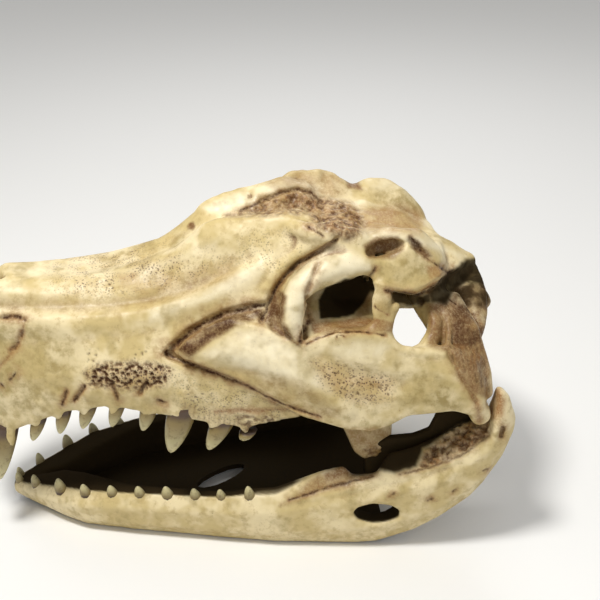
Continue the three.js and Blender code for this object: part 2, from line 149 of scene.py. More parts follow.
def area_light(name, place, aim, size, watts, colour=(1, 1, 1)):
    """A round lamp at a place, turned towards what it should light."""
    data = bpy.data.lights.new(name, "AREA")
    data.shape, data.size, data.energy, data.color = "DISK", size, watts, colour
    lamp = bpy.data.objects.new(name, data)
    lamp.location = place
    lamp.rotation_euler = (Vector(aim) - Vector(place)).to_track_quat("-Z", "Y").to_euler()
    bpy.context.scene.collection.objects.link(lamp)
    print(name, "lamp,", watts, "W")


area_light("key", (-0.35, -0.35, 1.45), (0.02, 0, 0.2), 0.3, 15.5, (1.0, 0.98, 0.94))
area_light("fill", (0.9, -1.3, 0.9), (0.05, 0, 0.15), 0.9, 2.0, (0.95, 0.97, 1.0))
area_light("back", (0.3, 1.2, 1.3), (0, 0, 0.2), 0.8, 5)

# %% [markdown]
# The replica rests on a plain pale floor. It lies a hair below zero, so that the jaw's lowest
# faces and the floor don't fight for the same place.

# %% Floor
FLOOR_HALF, FLOOR_DROP = 6, 0.0002
floor_mesh = bpy.data.meshes.new("floor")
floor_corners = [(x * FLOOR_HALF, y * FLOOR_HALF, 0) for x, y in ((-1, -1), (1, -1), (1, 1), (-1, 1))]
floor_mesh.from_pydata(floor_corners, [], [(0, 1, 2, 3)])
floor = bpy.data.objects.new("floor", floor_mesh)
floor.location.z = -FLOOR_DROP
bpy.context.scene.collection.objects.link(floor)
floor_paint = bpy.data.materials.new("floor")
floor_paint.use_nodes = True
shade = floor_paint.node_tree.nodes["Principled BSDF"]
shade.inputs["Base Color"].default_value = (0.93, 0.93, 0.92, 1)
shade.inputs["Roughness"].default_value = 0.9
floor_mesh.materials.append(floor_paint)
print("floor", 2 * FLOOR_HALF, "m across")

# %% [markdown]
# Bone is never even. Cloudy noise, which varies smoothly between random corner values, gives
# lumps and patches. The random number of a corner is worked out from its place, so each run
# and each order of work gives the same skull.

# %% Slopes and clouds
MIXERS = (374761393, 668265263, 2147483647, 1274126177, 2246822519)
BITS = 0xFFFFFFFF


def smooth(a, b, x):
    """0 below a, 1 above b, and an easy slope between."""
    t = np.clip((x - a) / (b - a), 0, 1)
    return t * t * (3 - 2 * t)


def hashed(ix, iy, iz, seed):
    """A repeatable random number from 0 to 1 for each whole-number cell."""
    h = (ix * MIXERS[0] + iy * MIXERS[1] + iz * MIXERS[2] + seed * MIXERS[3]) & BITS
    h = ((h ^ (h >> 13)) * MIXERS[3]) & BITS
    h = ((h ^ (h >> 16)) * MIXERS[4]) & BITS
    return ((h ^ (h >> 15)) & 0xFFFFFF) / float(0xFFFFFF)


def clouds(points, size, seed=0, octaves=3):
    """Smooth noise from -1 to 1 with lumps of about this size."""
    total, weight, amount = 0, 0, 1.0
    for k in range(octaves):
        p = points / (size / 2**k)
        base = np.floor(p).astype(np.int64)
        f = p - base
        f = f * f * (3 - 2 * f)
        value = 0
        for dx in (0, 1):
            for dy in (0, 1):
                for dz in (0, 1):
                    corner = hashed(base[:, 0] + dx, base[:, 1] + dy, base[:, 2] + dz, seed + k)
                    wx = f[:, 0] if dx else 1 - f[:, 0]
                    wy = f[:, 1] if dy else 1 - f[:, 1]
                    wz = f[:, 2] if dz else 1 - f[:, 2]
                    value = value + corner * wx * wy * wz
        total, weight, amount = total + amount * (value * 2 - 1), weight + amount, amount / 2
    return total / weight


print("clouds at the origin:", clouds(np.zeros((1, 3)), 9).round(3))

# %% [markdown]
# The small round holes in a jaw need something else: scattered points, one in each cell of a
# grid. The distance to the nearest one tells where a hole's middle is.

# %% Scattered points
def cells(points, size, seed=0):
    """Distance to the nearest scattered point, in cell sizes, and that point's own number."""
    p = points / size
    base = np.floor(p).astype(np.int64)
    nearest = np.full(len(p), 9.0)
    label = np.zeros(len(p))
    for dx in (-1, 0, 1):
        for dy in (-1, 0, 1):
            for dz in (-1, 0, 1):
                c = base + [dx, dy, dz]
                spot = np.stack([hashed(c[:, 0], c[:, 1], c[:, 2], seed + s) for s in (1, 2, 3)], 1)
                d = np.linalg.norm(c + spot - p, axis=1)
                closer = d < nearest
                nearest[closer] = d[closer]
                label[closer] = hashed(c[:, 0], c[:, 1], c[:, 2], seed + 4)[closer]
    return nearest, label


print("nearest point to the origin:", cells(np.zeros((1, 3)), 4)[0].round(2), "cells away")

# %% [markdown]
# Grooves are drawn as lines and stains as closed outlines, both in (u, v). Two functions say
# how far a place is from a line, and how far it is inside an outline.

# %% Lines and outlines
TINY = 1e-9


def to_line(u, v, line):
    """Distance from (u, v) to a line through points."""
    best = np.full(len(u), 1e9)
    for (ax, ay), (bx, by) in zip(line[:-1], line[1:]):
        dx, dy = bx - ax, by - ay
        t = np.clip(((u - ax) * dx + (v - ay) * dy) / (dx * dx + dy * dy + TINY), 0, 1)
        best = np.minimum(best, np.hypot(u - ax - t * dx, v - ay - t * dy))
    return best


def within(u, v, outline, soft=3.0):
    """1 inside a closed outline, fading to 0 across its edge."""
    inside = np.zeros(len(u), bool)
    ring = list(outline) + [outline[0]]
    for (ax, ay), (bx, by) in zip(ring[:-1], ring[1:]):
        crossing = (ay > v) != (by > v)
        x = ax + (v - ay) * (bx - ax) / (by - ay + TINY)
        inside ^= crossing & (u < x)
    edge = to_line(u, v, ring)
    return smooth(-soft, soft, np.where(inside, edge, -edge))


print("lines and outlines ready")

# %% [markdown]
# A field of distances is a grid of numbers: how far each point is from the surface, negative
# inside. Melting, carving and adding are then plain arithmetic, with none of the failures of
# mesh booleans. The voxel library that comes with Blender fills such a grid from triangles.

# %% From nodes to triangles
VOXEL = 1.15                           # grid spacing in millimetres
BAND = 5                               # distances are known this many voxels deep
MARGIN = 10.0                          # free room around the bones


def gather(names):
    """The named solids as one list of corners, in skull millimetres, and of triangles."""
    corners, faces, count = [], [], 0
    for name in names:
        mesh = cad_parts[name].data
        co = np.empty(len(mesh.vertices) * 3, np.float32)
        mesh.vertices.foreach_get("co", co)
        mesh.calc_loop_triangles()
        tri = np.empty(len(mesh.loop_triangles) * 3, np.int32)
        mesh.loop_triangles.foreach_get("vertices", tri)
        corners.append(co.reshape(-1, 3) / MM + [SHIFT, 0, 0])
        faces.append(tri.reshape(-1, 3) + count)
        count += len(corners[-1])
    return np.concatenate(corners).astype(np.float32), np.concatenate(faces).astype(np.uint32)


print("grid spacing", VOXEL, "mm")

# %% [markdown]
# A grid turned back into a mesh can hold loose crumbs, which a caster would shake out of the
# mould. Only the biggest connected surface is kept, and it is turned to face outwards.

# %% Mesh helpers
def volume(corners, quads):
    """The room inside a closed surface: negative when it is inside out."""
    a, b, c, d = (corners[quads[:, k]] for k in range(4))
    return float((np.einsum("ij,ij->i", a, np.cross(b, c))
                  + np.einsum("ij,ij->i", a, np.cross(c, d))).sum() / 6)


def largest_part(corners, quads):
    """Only the biggest connected surface, facing outwards."""
    corners = np.asarray(corners, np.float64)
    quads = np.asarray(quads, np.int64)
    label = np.arange(len(corners))
    while True:
        least = label[quads].min(1)
        new = label.copy()
        for k in range(4):
            np.minimum.at(new, quads[:, k], least)
        new = new[new]
        if (new == label).all():
            break
        label = new
    main = np.bincount(label).argmax()
    quads = quads[label[quads[:, 0]] == main]
    used = np.unique(quads)
    back = np.zeros(len(corners), np.int64)
    back[used] = np.arange(len(used))
    corners, quads = corners[used], back[quads]
    return (corners, quads) if volume(corners, quads) > 0 else (corners, quads[:, ::-1])


def normals_of(corners, quads):
    """The outward direction at each corner."""
    a = corners[quads[:, 2]] - corners[quads[:, 0]]
    b = corners[quads[:, 3]] - corners[quads[:, 1]]
    face = np.cross(a, b)
    out = np.zeros_like(corners)
    for k in range(4):
        for axis in range(3):
            out[:, axis] += np.bincount(quads[:, k], face[:, axis], len(corners))
    return out / np.maximum(np.linalg.norm(out, axis=1, keepdims=True), TINY)


print("mesh helpers ready")

# %% [markdown]
# Averaging each value with its neighbours rounds every edge, as worn moulds do. How far it
# rounds is given in millimetres, so the look stays when the grid gets finer.

# %% Averaging
def average(d, spread):
    """Spreads each value over its neighbours this far, in millimetres."""
    for _ in range(round(2 * (spread / VOXEL) ** 2)):
        for axis in range(3):
            a = np.moveaxis(d, axis, 0)
            middle = (a[:-2] + 2 * a[1:-1] + a[2:]) / 4
            a[1:-1] = middle


print("averaging ready")

# %% [markdown]
# The field holds the grid and four things to do with it: take a block of it, blend in or cut
# away a shape with a rounded joint, read its surface, and fuse. Fusing closes the seams between
# bones by taking the surface a little further out and measuring inwards again.

# %% The field
def transform():
    """Says how big a voxel is."""
    return vdb.createLinearTransform(voxelSize=VOXEL)


class Field:
    """Signed distances on a dense grid: negative inside, in skull millimetres."""

    def __init__(self, names):
        corners, faces = gather(names)
        grid = vdb.FloatGrid.createLevelSetFromPolygons(
            corners, triangles=faces, transform=transform(), halfWidth=BAND)
        self.first = np.floor((corners.min(0) - MARGIN) / VOXEL).astype(int)
        last = np.ceil((corners.max(0) + MARGIN) / VOXEL).astype(int)
        self.start = tuple(int(v) for v in self.first)
        self.d = np.full(last - self.first, BAND * VOXEL, np.float32)
        grid.copyToArray(self.d, ijk=self.start)

    def block(self, low, high):
        """The part of the grid inside a box, and the coordinates of its points."""
        a = np.maximum(np.floor(np.array(low) / VOXEL).astype(int) - self.first, 0)
        b = np.minimum(np.ceil(np.array(high) / VOXEL).astype(int) - self.first, self.d.shape)
        part = tuple(slice(i, j) for i, j in zip(a, b))
        axes_mm = [(np.arange(i, j) + f) * VOXEL for i, j, f in zip(a, b, self.first)]
        return part, np.meshgrid(*axes_mm, indexing="ij", sparse=True)

    def blend(self, low, high, shape, soft, cut=False):
        """Adds a shape, or cuts it away, with a rounded joint of this softness."""
        part, (x, y, z) = self.block(low, high)
        d = shape(x, y, z)
        f = self.d[part]
        if cut:
            h = np.maximum(soft - np.abs(f + d), 0) / soft
            self.d[part] = np.maximum(f, -d) + h * h * soft / 4
        else:
            h = np.maximum(soft - np.abs(f - d), 0) / soft
            self.d[part] = np.minimum(f, d) - h * h * soft / 4

    def mesh(self, level=0.0):
        """Corners in skull millimetres and four-sided faces of the surface at a level."""
        grid = vdb.FloatGrid()
        grid.background = float(BAND * VOXEL)
        grid.transform = transform()
        grid.copyFromArray(self.d, ijk=self.start)
        return grid.convertToQuads(isovalue=level)

    def fuse(self, gap):
        """Takes the surface this far out, and measures inwards from it."""
        corners, quads = largest_part(*self.mesh(gap))
        grid = vdb.FloatGrid.createLevelSetFromPolygons(
            corners.astype(np.float32), quads=quads.astype(np.uint32),
            transform=transform(), halfWidth=BAND)
        self.d[:] = BAND * VOXEL
        grid.copyToArray(self.d, ijk=self.start)
        self.d += gap


print("field ready")

# %% [markdown]
# The skull and the lower jaw are separate parts of the head, and the jaw lies on the shelf. Each
# gets a field of its own, or the open mouth would close where they touch.

# %% Two fields
SIDES = ("left", "right")
JAW_BONES = ("dentary", "surangular", "angular", "articular")
jaw_nodes = [f"{bone}_{side}" for bone in JAW_BONES for side in SIDES]
skull_nodes = sorted(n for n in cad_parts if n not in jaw_nodes and n != "throat")
skull = Field(skull_nodes)
jaw = Field(jaw_nodes)
print("skull grid", skull.d.shape, "jaw grid", jaw.d.shape)

# %% [markdown]
# A round tube that runs through a few points serves as finger and as gouge: added it is a
# ridge, cut away it is a groove. What is done on one side of the head is done on the other.

# %% Tubes on both sides
def strand(points):
    """A tube through points (x, y, z, radius)."""
    def shape(x, y, z):
        best = 1e9
        for a, b in zip(points[:-1], points[1:]):
            dx, dy, dz = (b[k] - a[k] for k in range(3))
            t = ((x - a[0]) * dx + (y - a[1]) * dy + (z - a[2]) * dz) / (dx**2 + dy**2 + dz**2)
            t = np.clip(t, 0, 1)
            gap = np.sqrt((x - a[0] - t * dx) ** 2 + (y - a[1] - t * dy) ** 2
                          + (z - a[2] - t * dz) ** 2)
            best = np.minimum(best, gap - (a[3] + t * (b[3] - a[3])))
        return best
    return shape


def mirrored(low, high):
    """A box and its mirror image on the other side of the head."""
    return (low, high), ((low[0], -high[1], low[2]), (high[0], -low[1], high[2]))


def both_sides(field, points, soft, cut=False):
    """Blends in a strand given on the right-hand side, and its mirror image."""
    p = np.array(points)[:, :3]
    reach = max(r for *_, r in points) + soft + 3
    right, left = mirrored(p.min(0) - reach, p.max(0) + reach)
    shape = strand(points)
    field.blend(*right, shape, soft, cut)
    field.blend(*left, lambda x, y, z: shape(x, -y, z), soft, cut)


print("tubes ready")

# %% [markdown]
# Some corners of the solids are too crisp even after melting, such as those around the eye.
# They are averaged once more inside a box. The effect fades towards the box's walls, or its
# edges would print a line on the bone.

# %% Softer corners
FADE = 7                               # voxels over which the effect sets in


def soften(field, low, high, spread):
    """Extra averaging inside a box on the right-hand side and its mirror image."""
    for box in mirrored(low, high):
        part, _ = field.block(*box)
        d = field.d[part].copy()
        weight = np.ones(d.shape, np.float32)
        for axis, length in enumerate(d.shape):
            edge = np.minimum(np.arange(length), np.arange(length)[::-1])
            ramp = [1, 1, 1]
            ramp[axis] = length
            weight = weight * smooth(0, FADE, edge).reshape(ramp)
        average(d, spread)
        field.d[part] += weight * (d - field.d[part])


print("softening ready")

# %% [markdown]
# Carving goes one by one: a mark is put where the camera should see it. A ray from the camera
# through (u, v) either stops at a given sideways distance, or at the first bone that it meets.

# %% The camera's rays
RAY_STEPS = np.arange(500, 1400, 0.4)


def ray_through(u, v):
    return view_dir + ((u - SHEET / 2) * view_right - (v - SHEET / 2) * view_up) / FOCAL


def at(u, v, y):
    """The point at this sideways distance that the camera sees at (u, v)."""
    ray = ray_through(u, v)
    return eye + ray * (y - eye[1]) / ray[1]


def skin(field, u, v):
    """The first point of the surface on the ray through (u, v), and its outward direction."""
    points = eye + RAY_STEPS[:, None] * ray_through(u, v)
    cell = np.round(points / VOXEL).astype(int) - field.first
    inside = np.all((cell > 0) & (cell < np.array(field.d.shape) - 1), 1)
    points, cell = points[inside], cell[inside]
    hit = int(np.argmax(field.d[tuple(cell.T)] < 0))
    i, j, k = cell[hit]
    if field.d[i, j, k] >= 0:
        raise ValueError(f"nothing at {u}, {v}")
    slope = np.array([
        field.d[i + 1, j, k] - field.d[i - 1, j, k],
        field.d[i, j + 1, k] - field.d[i, j - 1, k],
        field.d[i, j, k + 1] - field.d[i, j, k - 1],
    ], float)
    return points[hit], slope / max(np.linalg.norm(slope), 1e-6)


print("the ray through the middle meets bone at", skin(skull, SHEET / 2, SHEET / 2)[0].round())

# %% [markdown]
# Four tools follow. carve and build_up lie on the surface, and each mark says how wide and how
# deep or proud it is. dig and place take a sideways distance instead, for forms that stand free
# of the surface. A list of steps then reads like a sculptor's notes.

# %% Sculptor's tools
def doubled(points):
    """A single point becomes a very short tube."""
    if len(points) == 1:
        points.append((points[0][0] + 0.1, *points[0][1:]))
    return points


def anchored(field, marks, cut):
    """Marks (u, v, radius, amount) become tube points, this much proud or deep."""
    points = []
    for u, v, radius, amount in marks:
        p, n = skin(field, u, v)
        c = p + n * (radius - amount if cut else amount - radius)
        points.append((c[0], abs(c[1]), c[2], radius))
    return doubled(points)


def carve(field, soft, marks):
    both_sides(field, anchored(field, marks, True), soft, cut=True)


def build_up(field, soft, marks):
    both_sides(field, anchored(field, marks, False), soft)


def place(field, soft, marks, cut=False):
    """Marks (u, v, y, radius) fix a tube's points by their own sideways distance."""
    points = [(*at(u, v, y), r) for u, v, y, r in marks]
    both_sides(field, doubled([(x, abs(y), z, r) for x, y, z, r in points]), soft, cut)


def dig(field, soft, marks):
    place(field, soft, marks, cut=True)


def work(field, steps):
    for tool, what, soft, marks in steps:
        tool(field, soft, marks)
        print(" ", tool.__name__, what)


print("tools ready")

# %% [markdown]
# First everything is melted: seams of 0.4 mm close, and edges get the roundness of cast resin.

# %% Melt the solids together
SEAM_GAP = 0.8                         # how far out the surface is taken to close the seams
SKULL_ROUNDING, JAW_ROUNDING = 2.05, 1.6
for field, rounding in ((skull, SKULL_ROUNDING), (jaw, JAW_ROUNDING)):
    field.fuse(SEAM_GAP)
    average(field.d, rounding)
print("melted")

# %% [markdown]
# The lower jaw is hollow at the back, where the jaw muscles went in. A thin wall climbs inside
# it towards the joint. Its top follows a curve, and its foot flares towards the outer wall.

# %% The wall in the jaw's pit
WALL_FRONT, WALL_REAR, WALL_FOOT = 382, 489, 60
WALL_X = [382, 406, 427, 442, 448, 458, 480, 490]
WALL_TOP = [99, 107, 108, 114, 130, 135, 135, 122]
WALL_INNER, WALL_OUTER = -73, -81


def inner_wall(x, y, z):
    """Distance to the wall inside the left half of the jaw."""
    top = np.interp(x, WALL_X, WALL_TOP)
    flare = np.minimum(0.6 * np.maximum(90 - z, 0), 12) * np.clip((460 - x) / 20, 0, 1)
    sides = np.maximum(y - WALL_INNER, -(y - WALL_OUTER + flare))
    edge = np.maximum(sides, 0.8 * (z - top))
    return np.maximum(np.maximum(edge, WALL_FOOT - z), np.maximum(WALL_FRONT - x, x - WALL_REAR))


jaw.blend((374, -104, 52), (499, -62, 148), inner_wall, 4)
print("wall", WALL_REAR - WALL_FRONT, "mm long")

# %% [markdown]
# Between the snout and the table of the skull, overlapping plates rise on both sides of a deep
# spongy valley. The plates are fat tubes, the valley is cut between them, and the lobes at the
# back of the head stand free.

# %% The plates over the face
FACE_STEPS = [
    (build_up, "front plate", 5, [(206, 207, 9, 2), (226, 199, 10, 3)]),
    (build_up, "middle plate", 5, [(256, 194, 9, 2), (282, 184, 10, 3), (305, 187, 8, 3)]),
    (build_up, "upper plate", 5, [(300, 176, 9, 2), (325, 173, 9, 2)]),
    (build_up, "rear plate", 5, [(372, 186, 11, 2), (395, 196, 11, 2)]),
    (carve, "valley", 4, [
        (250, 210, 4, 2), (275, 205, 7, 4), (300, 202, 8, 5), (322, 212, 8, 5), (345, 222, 7, 4),
        (365, 224, 5, 2)]),
    (carve, "undercut of the middle plate", 2, [
        (262, 200, 2.2, 2.5), (280, 193, 2.4, 3), (298, 189, 2.4, 3), (312, 193, 2.2, 3),
        (322, 201, 2, 2)]),
    (place, "rear lobe", 6, [(398, 196, 47, 10), (413, 212, 45, 10), (412, 224, 45, 8)]),
    (place, "front of the first plate", 5, [(207, 213, 25, 7), (216, 208, 25, 8)]),
    (dig, "notch between the plates", 2, [(352, 179, 60, 5)]),
    (dig, "nick", 2, [(243, 187, 26, 2.5), (250, 196, 22, 2.5)]),
    (place, "knob on the snout", 1.5, [(191, 227, 0, 5.5)]),
    (build_up, "near edge of the valley", 3, [
        (286, 226, 7, 1), (302, 229, 7, 3), (316, 234, 6, 3), (328, 238, 4, 2)]),
]
work(skull, FACE_STEPS)

# %% [markdown]
# A crocodile's eye sits under a hooked bone, which curls round the front of the socket. It is
# built up from the cheek over the brow, and grooves set it off from the plate in front.

# %% The eye and its hooked bone
SOCKET_RIM = [(320, 289, -86, 4), (335, 281, -83, 5), (352, 276, -80, 5), (369, 275, -77, 4)]
# low corner, high corner, how far the averaging spreads
SOFT_BOXES = (((300, 40, 205), (395, 112, 285), 3.4),
              ((335, 50, 210), (402, 102, 248), 3),
              ((365, 30, 255), (480, 90, 330), 4.3))
HOOK_STEPS = [
    (build_up, "hooked bone", 3, [
        (297, 338, 5, 3), (293, 325, 9, 4), (291, 305, 11, 5), (298, 287, 11, 5), (315, 273, 11, 4),
        (338, 266, 10, 3), (360, 267, 8, 2), (377, 266, 4, 1)]),
    (build_up, "edge of the plate before it", 3, [
        (330, 234, 6, 1.5), (316, 245, 6, 2), (296, 255, 6, 2), (279, 269, 6, 2), (266, 288, 6, 1.5)]),
    (carve, "hollow before the hook", 2, [
        (277, 297, 4, 2.5), (272, 312, 5, 3.5), (275, 326, 5, 3.5), (289, 338, 3, 3)]),
    (carve, "groove under the plate", 2, [
        (337, 239, 2.2, 3), (318, 252, 2.2, 3.5), (300, 262, 2.2, 3.5), (284, 277, 2.2, 3.5),
        (275, 290, 2.5, 4), (268, 306, 2.5, 4), (262, 320, 2.5, 3)]),
    (carve, "groove along the hook", 2, [
        (319, 263, 1.8, 1.5), (312, 280, 1.8, 2), (307, 296, 1.8, 2.5), (308, 312, 2, 3)]),
    (carve, "corner of the eye", 2, [(304, 328, 3.5, 6), (306, 337, 2.5, 5)]),
    (place, "bar behind the eye", 4, [(402, 294, -82, 6), (392, 312, -88, 5), (384, 328, -94, 6)]),
]
place(skull, 3, SOCKET_RIM)
for low, high, spread in SOFT_BOXES:
    soften(skull, low, high, spread)
work(skull, HOOK_STEPS)

# %% [markdown]
# Behind the eye the skull has a flat table with an oval opening and a slit. Under its rear edge
# lies a dark recess, and the strut that carries the jaw runs down from it.

# %% The table and the back of the head
TABLE_STEPS = [
    (carve, "gap under the table", 2, [(395, 299, 3, 6), (406, 301, 4, 9), (420, 301, 4, 9)]),
    (carve, "recess at the back", 3, [
        (446, 287, 7, 9), (458, 283, 8, 10), (468, 275, 8, 10), (477, 268, 6, 8)]),
    (carve, "oval opening", 2, [
        (371, 252, 4, 7), (380, 248, 6, 11), (392, 246, 6, 10), (400, 245, 4, 6)]),
    (carve, "slit", 2, [
        (412, 241, 2.6, 4), (420, 249, 3.2, 6), (429, 258, 2, 3), (440, 266, 1.6, 2),
        (449, 272, 1.6, 2.5)]),
    (build_up, "edge of the table", 3, [
        (366, 280, 3, 1), (380, 284, 3, 1.2), (395, 287, 3, 1.5), (412, 289, 3, 1.5),
        (427, 283, 3, 1.5), (440, 274, 3, 1)]),
    (build_up, "strut", 3, [(446, 312, 3, 2), (449, 330, 3, 2.5), (448, 347, 3, 2)]),
    (place, "rear rim of the window", 4, [
        (430, 308, -70, 4), (435, 322, -80, 6), (433, 336, -86, 7), (424, 350, -94, 7),
        (412, 355, -98, 6)]),
    (carve, "seam down the strut", 2, [
        (448, 353, 2, 2), (459, 373, 2, 2.5), (470, 390, 2, 2.5), (477, 403, 2, 2)]),
]
work(skull, TABLE_STEPS)
REAR_BOX = ((380, 30, 225), (500, 100, 290))
soften(skull, *REAR_BOX, 2.2)

# %% [markdown]
# The cheek bone begins as a pointed leaf that swells out of the snout, with a groove on each
# side. The snout itself carries two long soft ridges with a shallow trough between them.

# %% Cheek and snout
CHEEK_STEPS = [
    (build_up, "leaf of the cheek", 6, [
        (190, 352, 8, 1.5), (215, 352, 14, 3), (245, 352, 16, 4), (272, 362, 16, 4),
        (298, 378, 15, 4), (322, 395, 12, 3.5), (345, 411, 8, 2)]),
    (carve, "dip in the cheek", 6, [
        (322, 362, 12, 2.5), (345, 372, 14, 3), (375, 380, 13, 2.5), (400, 385, 10, 1.5)]),
    (carve, "groove over the leaf", 2, [
        (168, 353, 4, 4), (178, 343, 4, 5), (190, 332, 4, 5.5), (205, 322, 4, 5.5),
        (225, 314, 4, 5), (245, 309, 4, 4.5), (262, 306, 3.5, 4)]),
    (carve, "groove under the leaf", 2, [
        (170, 355, 3.5, 4), (185, 363, 3, 4), (205, 370, 2.5, 3.5), (225, 377, 2.5, 3),
        (247, 386, 2, 2.5), (265, 396, 2, 2), (282, 404, 2, 2), (305, 412, 2, 2)]),
    (build_up, "lip under the eye", 3, [
        (305, 346, 4, 1), (318, 338, 4, 1.5), (340, 334, 4, 1.5), (365, 335, 4, 1.5),
        (388, 339, 4, 1.5), (402, 348, 4, 1.5), (425, 352, 4, 1.5), (443, 353, 4, 1)]),
    (build_up, "upper ridge of the snout", 8, [
        (4, 290, 14, 1), (60, 288, 14, 1.5), (118, 276, 13, 2.5), (160, 266, 12, 2.5),
        (205, 246, 12, 2.5), (240, 232, 10, 1.5)]),
    (build_up, "lower ridge of the snout", 8, [
        (2, 324, 12, 1), (70, 322, 12, 1.5), (140, 314, 12, 2), (190, 302, 11, 3),
        (230, 284, 10, 3), (262, 268, 8, 2)]),
    (carve, "trough of the snout", 6, [
        (2, 305, 8, 2), (60, 306, 8, 2), (110, 304, 8, 2.5), (150, 298, 8, 3), (190, 285, 8, 3),
        (225, 268, 8, 3), (246, 256, 6, 1.5)]),
]
work(skull, CHEEK_STEPS)

# %% [markdown]
# Over each tooth the bone bulges, because the root is long. Short creases run between roots and
# at the front of the snout, and the side of the flange on the palate is pared down.

# %% Gums
ROOT_BULGES = ((40, 411), (65, 402), (89, 394), (118, 394), (151, 397), (184, 401), (225, 411))
CREASES = (((66, 390), (63, 402)), ((84, 386), (76, 399)), ((112, 384), (117, 397)),
           ((146, 384), (140, 394)), ((20, 317), (3, 316)), ((14, 348), (22, 334)))
FLANGE_SIDE = [(401, 440, -78, 6), (396, 464, -78, 6)]
for u, v in ROOT_BULGES:
    build_up(skull, 4, [(u - 1, v - 6, 8, 1.5), (u, v, 8, 2)])
for start, end in CREASES:
    carve(skull, 2, [(*start, 1.8, 1.6), (*end, 2, 2.4)])
dig(skull, 2, FLANGE_SIDE)
print(len(ROOT_BULGES), "bulges and", len(CREASES), "creases on each side")

# %% [markdown]
# The lower jaw has a raised rim along its pit. On the far side that rim dips, so that the
# window behind the eye shows daylight.

# %% Rim of the lower jaw
WINDOW = ((404, 341), (413, 342), (420, 340), (426, 334))
SIGHT_START, SIGHT_END, SIGHT_RADIUS = 55, 118, 10     # sideways, in millimetres
RIM_BOX = ((435, 50, 65), (495, 130, 150))
JAW_STEPS = [
    (build_up, "rim", 3, [
        (488, 439, 4, 1.5), (461, 458, 4, 1.5), (419, 472, 4, 1.5), (373, 482, 4, 1.5),
        (330, 494, 4, 1.5), (280, 503, 4, 1.5)]),
    (carve, "nerve hole at the rear", 2, [(503, 430, 2, 4), (502, 436, 1.6, 3)]),
]
work(jaw, JAW_STEPS)
for u, v in WINDOW:
    ends = [(*at(u, v, y), SIGHT_RADIUS) for y in (SIGHT_START, SIGHT_END)]
    jaw.blend(*RIM_BOX, strand(ends), 4, cut=True)
print("window clear along", len(WINDOW), "sight lines")

# %% [markdown]
# The solids carry plain pegs for teeth. The rear three are cut back here, to make room for the
# round teeth that come later. The list says where each near tooth stands.

# %% Pegs make room for the teeth
# u, v and y of the root, u and v of the tip, half width at the gum
NEAR_TEETH = [
    (7, 428, -44.9, 0, 480, 12.5), (39, 417, -53.3, 33, 441, 8), (64, 409, -60.4, 60, 434, 8),
    (89, 402, -65.5, 83, 429, 9), (118, 401, -70.7, 112, 427, 8.5), (150, 403, -75.5, 143, 431, 9.5),
    (182, 408, -80.0, 171, 453, 15.5), (223, 418, -83.8, 209, 450, 12.5), (248, 428, -87.6, 243, 440, 9),
]
REAR_TEETH = NEAR_TEETH[6:]
for u, v, y, tip_u, tip_v, width in REAR_TEETH:
    dig(skull, 2, [(u - 6, v + 12, y, 0.5 * width), (tip_u, tip_v + 3, y, 0.5 * width)])
print(len(REAR_TEETH), "pegs trimmed on each side")

# %% [markdown]
# Carving can leave sheets too thin to cast. Fusing inwards and out again removes them. Then the
# fields become meshes of four-sided faces.

# %% From fields to meshes
THIN = 0.9                             # sheets thinner than twice this go
for field in (skull, jaw):
    field.fuse(-THIN)
skull_corners, skull_quads = largest_part(*skull.mesh())
jaw_corners, jaw_quads = largest_part(*jaw.mesh())
print("skull", len(skull_quads), "quads; jaw", len(jaw_quads), "quads")

# %% [markdown]
# Details finer than a voxel are drawn on the mesh itself. What the camera can't see mustn't be
# drawn on, or a groove on the cheek would also appear on the palate behind it. Corners are
# sorted into small squares of the render, and only the nearest in each square count as seen.

# %% What the camera sees
SQUARE, SQUARES, SLACK = 3, 300, 7     # side of a square, squares in a row, depth allowed


def spread_out(values, quads, times):
    """Averages values with those of the same faces, over and over."""
    flat = quads.ravel()
    count = np.maximum(np.bincount(flat, minlength=len(values)), 1)
    for _ in range(times):
        face = values[quads].mean(1)
        values = np.bincount(flat, np.repeat(face, 4), len(values)) / count
    return values


def hidden_beyond(u, v, depth):
    """For each point, the depth past which it is hidden."""
    row = np.clip(v / SQUARE, 1, SQUARES - 2).astype(int)
    column = np.clip(u / SQUARE, 1, SQUARES - 2).astype(int)
    nearest = np.full((SQUARES, SQUARES), 1e9)
    np.minimum.at(nearest, (row, column), depth)
    limit = nearest.copy()             # also the depth just beyond an edge counts
    for down in (-1, 0, 1):
        for across in (-1, 0, 1):
            limit = np.maximum(limit, np.roll(nearest, (down, across), (0, 1)))
    return limit[row, column] + SLACK


def view_of(points, normals, quads, wobble, graze):
    """Where points fall in the render, a little wobbly, and how well each is seen."""
    u, v, depth = on_sheet(points)
    ray = (points - eye) / np.linalg.norm(points - eye, axis=1, keepdims=True)
    facing = -np.einsum("ij,ij->i", normals, ray)
    seen = smooth(0.0, graze, facing) * (depth < hidden_beyond(u, v, depth))
    return u + wobble[0], v + wobble[1], smooth(0.12, 0.6, spread_out(seen, quads, 5))


print("squares of", SQUARE, "600ths")

# %% [markdown]
# Paint is kept as masks, numbers from 0 to 1 at each corner: a dark wash in the grooves, brown
# stains that in places also paint shade, olive tone mixed with painted shade, painted
# highlights, fine pits, and black painted shade in the deep hollows. Heights are kept beside
# them. Two views exist: one folds both sides of the head onto the near one, so that a mark is
# made twice, the other marks only what the camera really sees.

# %% Relief
MASKS = ("wash", "stain", "painted_shade", "olive_tone_and_shade", "pits", "pale")
HOLLOW_SPREAD = 3.4


